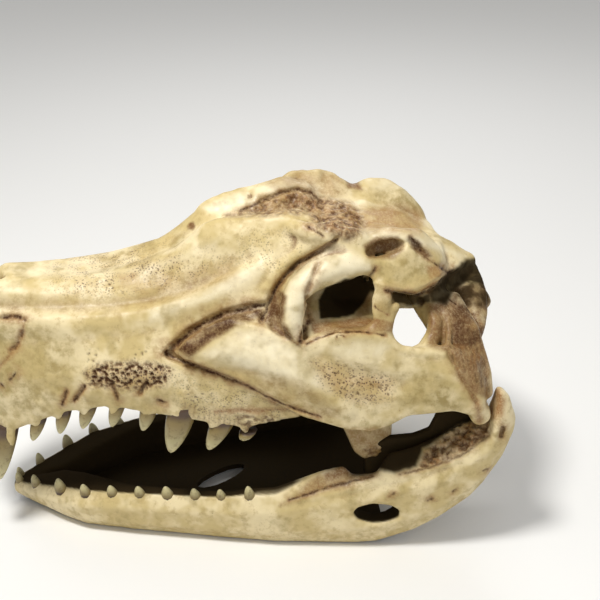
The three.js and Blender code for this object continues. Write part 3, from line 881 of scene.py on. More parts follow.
class Relief:
    """Heights and paint masks for a mesh."""

    def __init__(self, field, corners, quads):
        self.corners, self.quads = corners, quads
        self.normals = normals_of(corners, quads)
        side = np.where(corners[:, 1:2] > 0, -1.0, 1.0) * [0, 1, 0] + [1, 0, 1]
        self.p = corners * side        # every corner folded to the left side
        self.n = self.normals * side
        wobble = [0.9 * clouds(corners, 5, seed, 2) for seed in (11, 21)]
        self.left = view_of(self.p, self.n, quads, wobble, 0.15)
        self.true = view_of(corners, self.normals, quads, wobble, 0.12)
        self.use(self.left)
        self.h = np.zeros(len(corners))
        self.masks = {name: np.zeros(len(corners)) for name in MASKS}
        wide = field.d.copy()
        average(wide, HOLLOW_SPREAD)
        cell = tuple((np.round(corners / VOXEL).astype(int) - field.first).T)
        self.hollow = field.d[cell] - wide[cell]     # above 0 in dips, below 0 on ridges
        self.grain = clouds(corners, 9, 31, 4)
        self.fine = clouds(corners, 3.0, 41, 2)

    def use(self, view):
        """Chooses the view that the next marks are made in."""
        self.u, self.v, self.seen = view


head = Relief(skull, skull_corners, skull_quads)
print("hollow range", np.percentile(head.hollow, [1, 25, 50, 75, 99]).round(2))

# %% [markdown]
# A painter's line is never even: dark where the wash ran into the groove, and brown around it.
# Its strength follows the same clouds as the bone's grain.

# %% Drawing lines
def paint(relief, rows, weight, tints):
    for name, amount in tints.items():
        old = relief.masks[name][rows]
        relief.masks[name][rows] = np.maximum(old, amount * weight)


def near(relief, points, reach):
    """The seen corners around some points of the render."""
    p = np.array(points, float)
    low, high = p.min(0) - reach, p.max(0) + reach
    return np.flatnonzero((relief.u > low[0]) & (relief.u < high[0]) & (relief.v > low[1])
                          & (relief.v < high[1]) & (relief.seen > 0))


def line(relief, points, width, height, **tints):
    """A groove or lip along points, with a core of wash and a brown halo."""
    rows = near(relief, points, 5 * width + 3)
    grain, fine, seen = relief.grain[rows], relief.fine[rows], relief.seen[rows]
    d = to_line(relief.u[rows], relief.v[rows], points) / width
    d = d / (1 + 0.9 * np.clip(grain + 0.5 * fine, -0.6, 0.9))
    relief.h[rows] += height * np.exp(-d * d) * seen
    core = np.exp(-(d / 0.75) ** 2) * seen
    paint(relief, rows, core * np.clip(0.85 + fine, 0.35, 1), tints)
    halo = np.exp(-(d / 2.4) ** 2) * seen * smooth(-0.9, 0.3, grain)
    paint(relief, rows, halo, {"stain": 0.9 * max(tints.values(), default=0)})


print("lines ready")

# %% [markdown]
# Three more brushes fill an outline: tint only colours it, rough also makes it lumpy, and
# holes pierces it with pits, as where blood vessels came out of the bone.

# %% Filling outlines
def area(relief, outline, soft):
    rows = near(relief, outline, soft + 3)
    return rows, within(relief.u[rows], relief.v[rows], outline, soft) * relief.seen[rows]


def tint(relief, outline, soft, uneven=0.5, **tints):
    rows, weight = area(relief, outline, soft)
    weight = weight * (1 - uneven * smooth(-0.3, 0.4, relief.grain[rows]))
    paint(relief, rows, weight, tints)


def rough(relief, outline, soft, height, **tints):
    rows, weight = area(relief, outline, soft)
    lumps = relief.fine[rows] + 0.5 * relief.grain[rows]
    relief.h[rows] += weight * height * lumps
    paint(relief, rows, weight * smooth(0.5, -0.5, lumps), tints)


def holes(relief, outline, soft, size, radius, depth, share, **tints):
    rows, weight = area(relief, outline, soft)
    d, label = cells(relief.p[rows], size, 5)
    hole = smooth(radius, radius * 0.45, d) * (label < share) * weight
    relief.h[rows] -= depth * hole
    paint(relief, rows, hole, tints)


print("brushes ready")

# %% [markdown]
# The sutures, where two bones met in the living animal, are the strongest drawing on the head.
# Each line has its points, its width in 600ths and its height in millimetres, below 0 for a groove.

# %% Dark lines on the head
DARK_LINES = [
    ([(337, 239), (318, 252), (300, 262), (292, 270)], 1.3, -1.2),
    ([(292, 270), (284, 277), (275, 290), (271, 300)], 1.8, -1.2),
    ([(271, 300), (268, 306), (262, 320)], 2.8, -1.2),
    ([(166, 353), (178, 343), (190, 332), (205, 323), (225, 314), (245, 309), (264, 305)], 4.2, -0.6),
    ([(168, 354), (185, 362), (205, 370)], 2.9, -0.6),
    ([(205, 370), (225, 377), (234, 381)], 2.1, -0.6),
    ([(234, 381), (247, 386)], 1.4, -0.6),
    ([(247, 386), (265, 396), (282, 404), (305, 412), (320, 417)], 1.3, -0.8),
    ([(376, 268), (370, 276)], 1.7, -1.5),
    ([(306, 344), (318, 338), (335, 332), (360, 331), (384, 335)], 1.3, -1.0),
    ([(386, 291), (400, 294), (418, 295), (430, 289), (445, 278), (453, 270)], 2.2, -1.0),
    ([(411, 238), (420, 250), (430, 260), (440, 267), (449, 273)], 1.7, -1.2),
    ([(446, 297), (455, 303), (466, 312), (480, 323)], 1.6, -1.5),
    ([(336, 339), (338, 335), (344, 336)], 1.0, -0.9),
    ([(375, 306), (380, 311), (388, 314)], 0.9, -0.8),
    ([(-5, 317), (10, 317), (18, 316), (25, 320)], 2.2, -1.0),
    ([(22, 331), (21, 337)], 1.7, -1.0),
    ([(18, 343), (11, 351)], 2.0, -1.0),
    ([(15, 373), (10, 380)], 2.2, -1.0),
    ([(0, 384), (4, 388)], 1.6, -1.0),
    ([(67, 391), (62, 405)], 1.4, -0.8),
    ([(85, 386), (80, 393), (74, 401)], 1.5, -0.8),
    ([(111, 384), (115, 391), (118, 399)], 2.0, -1.0),
    ([(146, 383), (142, 390), (139, 396)], 2.0, -1.0),
    ([(158, 400), (166, 403)], 1.8, -0.8),
    ([(309, 227), (315, 231), (323, 236)], 2.0, -1.4),
    ([(300, 341), (304, 330), (309, 321)], 3.0, -1.0),
]
for points, width, height in DARK_LINES:
    line(head, points, width, height, wash=1.0)
print(len(DARK_LINES), "dark lines")

# %% [markdown]
# Fainter lines are mostly stained brown, and a few edges stand proud and stay bare, because the
# wash was wiped off them.

# %% Brown lines and bright lips
BROWN_LINES = [
    ([(319, 262), (313, 278), (308, 293), (306, 305), (309, 316)], 1.9, -1.0),
    ([(447, 349), (459, 373), (470, 390), (478, 405), (480, 420)], 1.6, -0.8),
    ([(25, 320), (22, 332), (18, 343), (10, 355), (-2, 368)], 1.1, -0.5),
    ([(215, 412), (240, 410), (262, 411), (290, 408)], 1.2, -0.5),
    ([(282, 334), (292, 341), (300, 346)], 1.5, -0.4),
]
TROUGH = [(0, 306), (60, 305), (110, 305), (150, 301), (190, 290), (230, 271)]
BRIGHT_LIPS = [
    [(176, 352), (184, 343), (196, 334), (210, 326), (225, 320), (240, 316)],
    [(176, 352), (186, 357), (200, 362), (215, 368), (232, 375), (246, 381)],
    [(366, 281), (380, 284), (395, 288), (412, 290), (427, 284), (440, 274)],
    [(485, 291), (490, 302), (489, 320), (487, 330)],
]
SCRATCHES, SCRATCH_START = 11, (184, 403)
STREAKS, STREAK_START = 7, 446
for points, width, height in BROWN_LINES:
    line(head, points, width, height, stain=0.9, wash=0.25)
# The brown along the snout's trough is partly stain and partly painted shade.
line(head, TROUGH, 3.5, -0.4, stain=0.3)
for points in BRIGHT_LIPS:
    line(head, points, 1.3, 0.9)
for i in range(SCRATCHES):             # fine scratches side by side
    u, v = SCRATCH_START[0] + 5 * i, SCRATCH_START[1] + 1.5 * i
    line(head, [(u + 1, v), (u, v + 11)], 0.9, -0.35, wash=0.35)
for i in range(STREAKS):               # streaks down the strut
    u = STREAK_START + 6 * i
    line(head, [(u, 318 + 3 * i), (u + 2, 335 + 4 * i), (u + 7, 362 + 5 * i)], 2.2, -0.7, wash=0.6)
print(len(BROWN_LINES), "brown lines,", len(BRIGHT_LIPS), "bright lips")

# %% [markdown]
# A crocodile's snout is full of small openings. They crowd over the teeth, where the patch
# looks like a sponge, and thin out over the snout and the cheek.

# %% Pitted patches
SPONGE = [(84, 372), (100, 364), (130, 362), (160, 364), (172, 370), (165, 385), (140, 390),
          (110, 388), (90, 386)]
CHEEK_DIP = [(312, 362), (345, 366), (395, 380), (390, 402), (350, 402), (322, 388)]
# outline, soft edge, cell size, hole radius, depth, share of cells, tints
PITTED = [
    (SPONGE, 5, 3.6, 0.7, 2.6, 0.95, {"wash": 0.95, "stain": 1}),
    ([(90, 279), (112, 277), (114, 292), (92, 293)], 3, 3.4, 0.4, 0.9, 0.7, {"wash": 0.8}),
    ([(148, 262), (178, 256), (186, 268), (156, 280)], 4, 3.4, 0.36, 0.9, 0.5, {"wash": 0.7}),
    ([(312, 362), (345, 362), (395, 378), (392, 402), (350, 402), (322, 385)], 6, 3.4, 0.42, 1.1, 0.6,
     {"wash": 0.7, "stain": 0.5}),
    ([(86, 350), (98, 349), (99, 362), (88, 362)], 2, 3.2, 0.45, 1, 0.7, {"wash": 0.7}),
    ([(132, 350), (146, 348), (148, 360), (134, 361)], 2, 3.2, 0.45, 1, 0.7, {"wash": 0.7}),
    ([(186, 384), (212, 384), (212, 404), (186, 402)], 4, 3.4, 0.4, 1, 0.4, {"wash": 0.8}),
]
LAST_GUM = [(236, 416), (262, 412), (285, 420), (262, 436), (240, 440)]
FLANGE_TIP = [(362, 448), (388, 446), (386, 466), (366, 466)]
for outline, soft, size, radius, depth, share, tints in PITTED:
    holes(head, outline, soft, size, radius, depth, share, **tints)
rough(head, LAST_GUM, 4, 0.8, wash=0.7, stain=0.5)
rough(head, FLANGE_TIP, 3, 2.2, wash=0.6, stain=0.8)
print(len(PITTED), "pitted patches")

# %% [markdown]
# The highest forms get painted highlights in pale cream: the hooked bone, the leaf, the
# ridges of the snout and the crest of the table.

# %% Painted highlights
HIGHLIGHT_PATCHES = [
    ([(300, 262), (335, 243), (372, 262), (372, 272), (340, 274), (318, 282), (306, 300), (303, 330),
      (294, 338), (286, 322), (284, 296), (290, 278)], 5, 0.7),
    ([(205, 354), (240, 330), (275, 335), (320, 370), (330, 392), (300, 385), (250, 372)], 8, 0.75),
    ([(150, 312), (200, 296), (240, 272), (262, 262), (262, 275), (235, 290), (190, 308), (150, 322)],
     6, 0.7),
    ([(360, 228), (400, 232), (440, 244), (465, 256), (440, 252), (400, 240), (365, 238)], 4, 0.6),
    ([(-5, 268), (60, 266), (110, 272), (160, 262), (220, 238), (215, 250), (150, 272), (40, 277)],
     6, 0.45),
    ([(320, 345), (350, 340), (390, 346), (380, 360), (340, 356)], 8, 0.5),
]
for outline, soft, amount in HIGHLIGHT_PATCHES:
    tint(head, outline, soft, 0.35, pale=amount)
print(len(HIGHLIGHT_PATCHES), "pale forms")

# %% [markdown]
# The valley and the plates behind it are seen over the near side of the head. They are drawn in
# the true view, because a folded mark would land on the near brow instead.

# %% The valley and the far plates
VALLEY = [(226, 215), (262, 200), (285, 191), (300, 188), (318, 196), (350, 203), (366, 214),
          (362, 232), (350, 240), (335, 236), (316, 228), (308, 213), (270, 215)]
VALLEY_EDGE = [(240, 211), (262, 201), (280, 193), (298, 189), (312, 193), (322, 201)]
TABLE_SEAM = [(360, 224), (380, 222), (400, 226)]
# The pale rows paint highlights on the far plates; the olive rows and the brown over the far table paint
# shade.
# outline, soft edge, unevenness, tints
FAR_TINTS = [
    ([(203, 208), (240, 193), (262, 196), (225, 214)], 5, 0.3, {"pale": 0.85}),
    ([(256, 190), (290, 178), (322, 188), (318, 196), (298, 186), (270, 194)], 4, 0.3, {"pale": 0.8}),
    ([(360, 176), (390, 178), (405, 190), (375, 192)], 6, 0.5, {"pale": 0.5}),
    (VALLEY, 7, 0.25, {"stain": 0.95}),
    ([(344, 174), (357, 180), (362, 189), (348, 188)], 3, 0.2, {"stain": 1, "wash": 0.5}),
    ([(352, 208), (405, 205), (424, 212), (421, 234), (360, 232)], 7, 0.4, {"stain": 0.75}),
    ([(262, 180), (300, 170), (340, 170), (352, 190), (330, 200), (300, 188), (275, 190)], 6, 0.5,
     {"stain": 0.5, "olive_tone_and_shade": 0.5}),
    ([(365, 190), (400, 185), (424, 205), (420, 215), (370, 212)], 8, 0.6, {"olive_tone_and_shade": 0.8}),
    ([(187, 226), (189, 223), (193, 222), (195, 226), (193, 230), (188, 230)], 1.5, 0.3,
     {"stain": 1, "wash": 0.5}),
]


def tint_all(relief, table):
    for outline, soft, uneven, tints in table:
        tint(relief, outline, soft, uneven, **tints)
    print(len(table), "tints")


head.use(head.true)
rough(head, VALLEY, 5, 1.9, wash=0.7, stain=1)
line(head, VALLEY_EDGE, 2, -0.8, wash=0.9)
line(head, TABLE_SEAM, 1.6, -0.6, stain=0.9)
tint_all(head, FAR_TINTS)
head.use(head.left)

# %% [markdown]
# Painted shade and dirt on the snout and the cheek: olive painted shade where the bone turns away
# from the light, brown in the troughs that is partly painted shade, and a rash of pin-sized pits.

# %% Tints on the snout and the cheek
SNOUT_TINTS = [
    ([(120, 280), (180, 270), (235, 258), (235, 276), (190, 292), (140, 299)], 8, 0.5, {"stain": 0.4}),
    ([(50, 262), (130, 256), (210, 250), (232, 262), (180, 285), (110, 296), (50, 292)], 12, 0.9,
     {"pits": 0.8, "stain": 0.2}),
    (SPONGE, 6, 0.3, {"pits": 1, "stain": 0.5}),
    (CHEEK_DIP, 7, 0.5, {"pits": 1}),
    (CHEEK_DIP, 9, 0.5, {"stain": 0.5}),
    ([(170, 372), (240, 390), (300, 412), (240, 436), (180, 410)], 10, 0.9, {"pits": 0.7}),
    ([(240, 235), (300, 228), (310, 262), (262, 280), (240, 262)], 10, 0.95, {"pits": 0.5}),
    ([(205, 366), (262, 370), (300, 380), (345, 411), (330, 419), (290, 409), (250, 391)], 6, 0.5,
     {"olive_tone_and_shade": 0.9, "stain": 0.3}),
    ([(-10, 296), (110, 297), (170, 292), (225, 272), (240, 262), (236, 280), (180, 300), (110, 309),
      (-10, 311)], 6, 0.5, {"olive_tone_and_shade": 0.5, "stain": 0.15}),
    ([(300, 408), (345, 424), (395, 420), (470, 412), (477, 420), (380, 436), (330, 424)], 5, 0.5,
     {"olive_tone_and_shade": 0.9}),
    ([(118, 274), (138, 272), (142, 286), (120, 288)], 4, 0.5, {"stain": 0.65}),
    ([(-20, 320), (40, 322), (80, 350), (70, 410), (-20, 430)], 16, 0.6, {"olive_tone_and_shade": 0.8}),
    ([(60, 395), (160, 385), (300, 400), (300, 440), (60, 430)], 10, 0.6, {"olive_tone_and_shade": 0.6}),
    ([(276, 284), (286, 296), (284, 322), (294, 340), (280, 336), (264, 322)], 3, 0.4,
     {"wash": 0.7, "stain": 1}),
    ([(176, 350), (198, 330), (225, 316), (262, 308), (264, 316), (235, 326), (205, 344), (190, 357)],
     4, 0.5, {"wash": 0.85, "stain": 1}),
]
tint_all(head, SNOUT_TINTS)

# %% [markdown]
# Around the eye and at the back of the head the recesses get the darkest painted shade. The shade
# mask makes a hollow black and dull, where a glossy black would look grey. The olive rows here are
# painted shade too.

# %% Tints and painted shade around the eye and at the back
BACK_TINTS = [
    ([(388, 250), (430, 262), (440, 274), (425, 284), (385, 286), (372, 270)], 8, 0.6, {"olive_tone_and_shade": 0.9}),
    ([(310, 322), (345, 320), (360, 316), (395, 322), (392, 332), (345, 330), (314, 334)], 2, 0.3,
     {"stain": 0.95, "wash": 0.2}),
    ([(354, 320), (360, 305), (365, 290), (371, 290), (369, 318)], 3, 0.4, {"stain": 0.8}),
    ([(376, 284), (409, 290), (398, 312), (392, 330), (376, 328)], 4, 0.6, {"olive_tone_and_shade": 0.6, "stain": 0.2}),
    ([(427, 266), (446, 262), (449, 275), (430, 280)], 3, 0.5, {"stain": 0.8}),
    ([(364, 246), (375, 237), (398, 236), (404, 250), (392, 259), (368, 258)], 3, 0.3,
     {"stain": 0.9, "wash": 0.5}),
    ([(409, 236), (418, 240), (432, 256), (424, 258), (412, 248)], 2, 0.3, {"stain": 0.6, "wash": 0.8}),
    ([(428, 292), (449, 273), (465, 259), (480, 256), (490, 275), (486, 288), (470, 282), (456, 290),
      (446, 305), (430, 302)], 3, 0.1, {"painted_shade": 1}),
    ([(450, 280), (486, 272), (490, 292), (488, 306), (470, 310), (455, 300)], 5, 0.6, {"painted_shade": 0.9}),
    ([(390, 292), (422, 296), (432, 292), (430, 302), (410, 306), (394, 302)], 2, 0.1, {"painted_shade": 0.9}),
    ([(452, 286), (488, 284), (491, 310), (488, 330), (462, 332), (450, 305)], 4, 0.6,
     {"stain": 0.9, "wash": 0.6}),
    ([(428, 304), (455, 300), (490, 325), (490, 400), (470, 392), (449, 352), (428, 346)], 4, 0.25,
     {"stain": 0.95, "wash": 0.35}),
    ([(440, 300), (470, 296), (486, 330), (484, 350), (452, 345)], 5, 0.7, {"wash": 0.75}),
    ([(392, 362), (440, 372), (470, 398), (462, 412), (400, 408)], 9, 0.6, {"olive_tone_and_shade": 1}),
    ([(345, 428), (400, 428), (396, 468), (352, 468)], 4, 0.3, {"olive_tone_and_shade": 1, "stain": 0.6}),
    ([(318, 300), (325, 288), (345, 279), (365, 277), (372, 288), (364, 303), (354, 314), (340, 318),
      (320, 319)], 1.5, 0, {"painted_shade": 1}),
]
tint_all(head, BACK_TINTS)

# %% [markdown]
# Last, what goes on all over: wash settles in every dip, faces that turn downwards get olive
# painted shade, the given insides get black painted shade, and the surface gets a faint
# unevenness. Only now are the corners moved by their heights.

# %% Finish a relief
LOWEST, HIGHEST = -3.5, 2.5            # limits of the drawn heights, in millimetres


def finish_relief(relief, inside):
    """Adds grain, general dirt and painted shade below and inside, and moves the corners."""
    relief.h += 0.22 * relief.fine + 0.3 * relief.grain
    relief.h = spread_out(np.clip(relief.h, LOWEST, HIGHEST), relief.quads, 1)
    everywhere = slice(None)
    dips = smooth(0.15, 1.3, relief.hollow + 0.5 * relief.grain)
    deep = smooth(1.6, 3.4, relief.hollow)
    spots = smooth(0.1, 0.5, clouds(relief.p, 16, 61, 3))
    under = smooth(0.15, -0.7, relief.n[:, 2]) * (0.7 + 0.5 * relief.grain)
    paint(relief, everywhere, dips, {"stain": 0.7, "wash": 0.35})
    paint(relief, everywhere, deep, {"wash": 0.9})
    # painted shade: the given insides go black
    paint(relief, everywhere, inside, {"painted_shade": 1.0})
    paint(relief, everywhere, spots, {"olive_tone_and_shade": 0.55})
    # painted shade: olive on faces that turn downwards, away from the key lamp
    paint(relief, everywhere, under, {"olive_tone_and_shade": 0.9})
    relief.corners = relief.corners + relief.normals * relief.h[:, None]
    print("heights", relief.h.min().round(1), "to", relief.h.max().round(1), "mm")


# %% [markdown]
# Two insides of the head get black painted shade: the roof of the mouth, away from the outer edge
# of each jaw, and the space behind the eye socket. Both are boxes with soft walls.

# %% Painted shade in the insides of the head
def half_width(relief):
    """The greatest sideways reach near each corner's own x."""
    bins = (relief.p[:, 0] / 10).astype(int)
    reach = np.zeros(bins.max() + 2)
    np.maximum.at(reach, bins, -relief.p[:, 1])
    return reach[bins]


x, out, z = head.p[:, 0], -head.p[:, 1], head.p[:, 2]
mouth_roof = smooth(9, 17, half_width(head) - out) * smooth(-0.1, -0.5, head.n[:, 2])
mouth_roof *= smooth(185, 178, z)
socket = smooth(70, 62, out) * smooth(300, 318, x) * smooth(402, 390, x) * smooth(236, 242, z)
socket *= smooth(0.5, 0.2, head.n[:, 2]) * smooth(30, 42, out) * smooth(286, 280, z)
finish_relief(head, np.maximum(mouth_roof, socket))

# %% [markdown]
# The lower jaw is treated in the same way: a rough brown joint surface at the back, a stained
# shelf in front of it, black painted shade in the deep part of its pit, a groove along the rim and
# a few nerve holes.

# %% The lower jaw's relief
JOINT = [(418, 470), (425, 450), (446, 434), (462, 424), (489, 419), (489, 437), (462, 454), (436, 467)]
NERVE_HOLES = ((392, 495), (455, 491), (465, 505), (485, 470), (430, 500))
mandible = Relief(jaw, jaw_corners, jaw_quads)
rough(mandible, JOINT, 3, 3.4, stain=0.9, wash=0.7)
JAW_TINTS = [
    (JOINT, 4, 0.4, {"stain": 0.95}),
    # painted shade: black over the deep part of the pit
    ([(372, 468), (392, 436), (416, 437), (432, 429), (440, 409), (489, 403), (489, 416), (462, 420),
      (446, 431), (424, 446), (417, 467), (395, 473)], 3, 0, {"painted_shade": 1}),
    ([(482, 385), (500, 388), (506, 400), (503, 420), (484, 420)], 4, 0.4, {"stain": 0.95}),
    ([(290, 500), (310, 480), (345, 462), (372, 456), (376, 474), (330, 488), (280, 505)], 4, 0.5,
     {"stain": 0.9, "wash": 0.2}),
]
# points, width, height, wash
JAW_LINES = [
    ([(503, 428), (502, 437)], 2.2, -1.5, 1),
    ([(372, 476), (345, 483), (320, 490), (290, 500)], 2, -1, 0.9),
    ([(488, 437), (461, 456), (430, 468), (400, 474)], 1.6, -0.6, 0.7),
]
tint_all(mandible, JAW_TINTS)
for points, width, height, wash in JAW_LINES:
    line(mandible, points, width, height, wash=wash)
for u, v in NERVE_HOLES:
    line(mandible, [(u - 2, v + 1), (u + 2, v - 1)], 1.6, -0.8, wash=0.8)

# %% [markdown]
# Inside the jaw two regions get black painted shade: the pit of the muscles, except for the joint
# surface, and the faces that look inwards along the teeth.

# %% Painted shade in the insides of the jaw
x, y, z = mandible.p.T
pit = smooth(362, 380, x) * smooth(-97, -91, y) * smooth(60, 70, z) * smooth(492, 486, x)
pit *= 1 - within(mandible.u, mandible.v, JOINT, 3) * mandible.seen
inward = smooth(-0.55, -0.1, mandible.n[:, 1]) * smooth(432, 412, x)
ledge = smooth(296, 310, x) * smooth(66, 76, z)
finish_relief(mandible, np.maximum(inward * (1 - ledge), pit))

# %% [markdown]
# Materials are trees of nodes. A small class with short names keeps their wiring readable, and
# colours are written as on a paint card, from 0 to 255.

# %% Short names for nodes
def linear(*rgb):
    """A colour picked on a 0 to 255 screen scale, as the renderer wants it."""
    c = [(v / 255 / 12.92 if v <= 10 else ((v / 255 + 0.055) / 1.055) ** 2.4) for v in rgb]
    return (*c, 1.0)


class Tree:
    """Short ways to add and wire nodes of one material."""

    def __init__(self, name):
        self.material = bpy.data.materials.new(name)
        self.material.use_nodes = True
        self.nodes = self.material.node_tree.nodes
        self.links = self.material.node_tree.links
        self.shader = self.nodes["Principled BSDF"]

    def put(self, socket, value):
        if isinstance(value, bpy.types.NodeSocket):
            self.links.new(value, socket)
        else:
            socket.default_value = value

    def give(self, **values):
        """Sets the shader's own inputs, with _ for a space in a name."""
        for name, value in values.items():
            self.put(self.shader.inputs[name.replace("_", " ")], value)

    def add(self, kind, inputs=None, **settings):
        node = self.nodes.new(kind)
        for key, value in settings.items():
            setattr(node, key, value)
        for key, value in (inputs or {}).items():
            self.put(node.inputs[key], value)
        return node

    def where(self):
        node = self.nodes.get("Texture Coordinate") or self.add("ShaderNodeTexCoord")
        return node.outputs["Object"]

    def mask(self, name):
        return self.add("ShaderNodeAttribute", attribute_name=name).outputs["Fac"]

    def noise(self, scale, detail=4, rough=0.6):
        values = {"Vector": self.where(), "Scale": scale, "Detail": detail, "Roughness": rough}
        return self.add("ShaderNodeTexNoise", values).outputs["Fac"]

    def spots(self, scale):
        values = {"Vector": self.where(), "Scale": scale}
        return self.add("ShaderNodeTexVoronoi", values).outputs["Distance"]

    def span(self, value, a, b, low=0.0, high=1.0):
        values = {0: value, 1: a, 2: b, 3: low, 4: high}
        return self.add("ShaderNodeMapRange", values, interpolation_type="SMOOTHSTEP").outputs[0]

    def math(self, how, a, b):
        return self.add("ShaderNodeMath", {0: a, 1: b}, operation=how, use_clamp=True).outputs[0]

    def blend(self, amount, a, b):
        return self.add("ShaderNodeMix", {0: amount, 6: a, 7: b}, data_type="RGBA").outputs[2]

    def bump(self, height, strength, distance):
        values = {"Height": height, "Strength": strength, "Distance": distance}
        return self.add("ShaderNodeBump", values).outputs["Normal"]


print("nodes have short names")

# %% [markdown]
# The bone colour goes on in layers: cream, painted highlights, olive tone mixed with painted shade,
# flecks, brown stain that in places paints shade, pits, the dark wash and black painted shade in
# the hollows. Clouds of three sizes break most layers up. Raised paint shines a little, and the
# black painted shade and the wash are dull.

# %% Bone paint
CREAM_DEEP, CREAM_LIGHT, TAN = linear(204, 183, 127), linear(233, 216, 172), linear(178, 153, 98)
HIGHLIGHT_CREAM, OLIVE_TONE_AND_SHADE, FLECK = linear(248, 238, 208), linear(158, 138, 82), linear(120, 88, 48)
BROWN, PIT, WASH, SHADE_BLACK = linear(148, 102, 52), linear(74, 50, 34), linear(66, 39, 21), linear(50, 40, 24)


def bone_paint():
    t = Tree("bone_with_painted_light")
    big, mid, small = t.noise(28, 3), t.noise(130, 5, 0.65), t.noise(520, 4, 0.7)
    colour = t.blend(t.span(big, 0.4, 0.62), CREAM_DEEP, CREAM_LIGHT)
    colour = t.blend(t.span(mid, 0.5, 0.68, 0, 0.5), colour, TAN)
    # painted highlight: pale cream on the highest forms
    pale = t.math("MULTIPLY", t.mask("pale"), t.span(small, 0.3, 0.6, 0.75, 1))
    colour = t.blend(pale, colour, HIGHLIGHT_CREAM)
    # olive tone, and olive painted shade where the bone turns from the light
    olive_tone_and_shade = t.math("MULTIPLY", t.mask("olive_tone_and_shade"), t.span(mid, 0.35, 0.6, 0.5, 1))
    colour = t.blend(olive_tone_and_shade, colour, OLIVE_TONE_AND_SHADE)
    fleck = t.math("MULTIPLY", t.span(t.noise(900, 2), 0.66, 0.72), t.span(mid, 0.45, 0.6))
    colour = t.blend(t.math("MULTIPLY", fleck, 0.6), colour, FLECK)
    # brown stain, in places painted shade
    stain = t.math("MULTIPLY", t.mask("stain"), t.span(small, 0.3, 0.6, 0.55, 1))
    colour = t.blend(stain, colour, BROWN)
    pit = t.math("MULTIPLY", t.span(t.spots(480), 0.42, 0.28), t.mask("pits"))
    colour = t.blend(t.math("MULTIPLY", pit, 0.85), colour, PIT)
    wash = t.math("MULTIPLY", t.mask("wash"), t.span(small, 0.25, 0.6, 0.7, 1.1))
    colour = t.blend(wash, colour, WASH)
    # painted shade: black over the hollows
    colour = t.blend(t.mask("painted_shade"), colour, SHADE_BLACK)
    dull = t.math("MAXIMUM", t.mask("painted_shade"), t.math("MULTIPLY", wash, 0.7))
    gloss = t.math("MAXIMUM", t.span(mid, 0.3, 0.7, 0.36, 0.58), t.math("MULTIPLY", dull, 0.95))
    height = t.math("ADD", t.math("MULTIPLY", small, 0.4), t.math("MULTIPLY", mid, 0.4))
    height = t.math("SUBTRACT", height, t.math("MULTIPLY", pit, 0.4))
    t.give(Base_Color=colour, Roughness=gloss, Specular_IOR_Level=t.span(dull, 0, 1, 0.5, 0.05),
           Normal=t.bump(height, 0.5, 0.0008))
    return t.material


bone = bone_paint()
print("bone paint has", len(bone.node_tree.nodes), "nodes")

# %% [markdown]
# The teeth are darker than the bone, glossier, and darkest where they leave the gum. Each
# corner of a tooth knows how far along the tooth it lies, and the colour follows that.

# %% Tooth paint
TOOTH_BASE, TOOTH_TIP = linear(128, 110, 66), linear(196, 186, 140)
TOOTH_STREAK, TOOTH_GUM = linear(104, 86, 50), linear(66, 44, 40)


def tooth_paint():
    t = Tree("painted_tooth")
    along, streak = t.mask("along"), t.noise(260, 4)
    colour = t.blend(t.span(along, 0.1, 0.95), TOOTH_BASE, TOOTH_TIP)
    colour = t.blend(t.span(streak, 0.5, 0.72, 0, 0.6), colour, TOOTH_STREAK)
    colour = t.blend(t.span(along, 0.16, -0.04, 0, 0.85), colour, TOOTH_GUM)
    t.give(Base_Color=colour, Roughness=t.span(streak, 0.3, 0.7, 0.3, 0.5),
           Normal=t.bump(streak, 0.3, 0.0006))
    return t.material


enamel = tooth_paint()
print("tooth paint has", len(enamel.node_tree.nodes), "nodes")

# %% [markdown]
# A crocodile's tooth is a blunt cone, slightly bowed and fluted lengthwise. It is built ring by
# ring from inside the gum to the tip, because a cone primitive has neither bow nor flutes.

# %% One tooth
RINGS, RING_SIDES = 18, 22
IN_GUM = 0.18                          # share of the length that is hidden in the gum
FLUTES, FLUTE_DEPTH = 9, 0.035


def tooth(root, tip, radius, bow):
    """Corners, faces and the share of the length at each corner."""
    root, tip = np.array(root, float), np.array(tip, float)
    corners, along = [], []
    for i in range(RINGS):
        t = -IN_GUM + (1 + IN_GUM) * i / (RINGS - 1)
        out = max(t, 0)
        centre = root + (tip - root) * t + np.array([0, bow, 0]) * 4 * out * (1 - t)
        width = radius * (1 - 0.72 * out ** 1.8) * math.sqrt(max(1 - out ** 9, 0))
        for k in range(RING_SIDES):
            a = 2 * math.pi * k / RING_SIDES
            flute = 1 + FLUTE_DEPTH * math.sin(FLUTES * a + radius * 7) * (1 - out)
            corners.append(centre + np.array([math.cos(a), 0.85 * math.sin(a), 0]) * width * flute)
            along.append(t)
    corners += [root - (tip - root) * IN_GUM, tip]
    along += [-IN_GUM, 1.0]
    base, end, last = len(corners) - 2, len(corners) - 1, (RINGS - 1) * RING_SIDES
    faces = []
    for first in range(0, last, RING_SIDES):
        for k in range(RING_SIDES):
            a, b = first + k, first + (k + 1) % RING_SIDES
            faces.append((a, b, b + RING_SIDES, a + RING_SIDES))
    for k in range(RING_SIDES):
        after = (k + 1) % RING_SIDES
        faces += [(base, after, k), (end, last + k, last + after)]
    return np.array(corners), faces, along


print("a tooth has", len(tooth((0, 0, 0), (0, 0, 9), 3, 0)[1]), "faces")

# %% [markdown]
# The near upper teeth stand where the camera sees them. The two front ones and the lower row are
# given in skull millimetres instead. Each tooth is made twice, on the left and on the right.

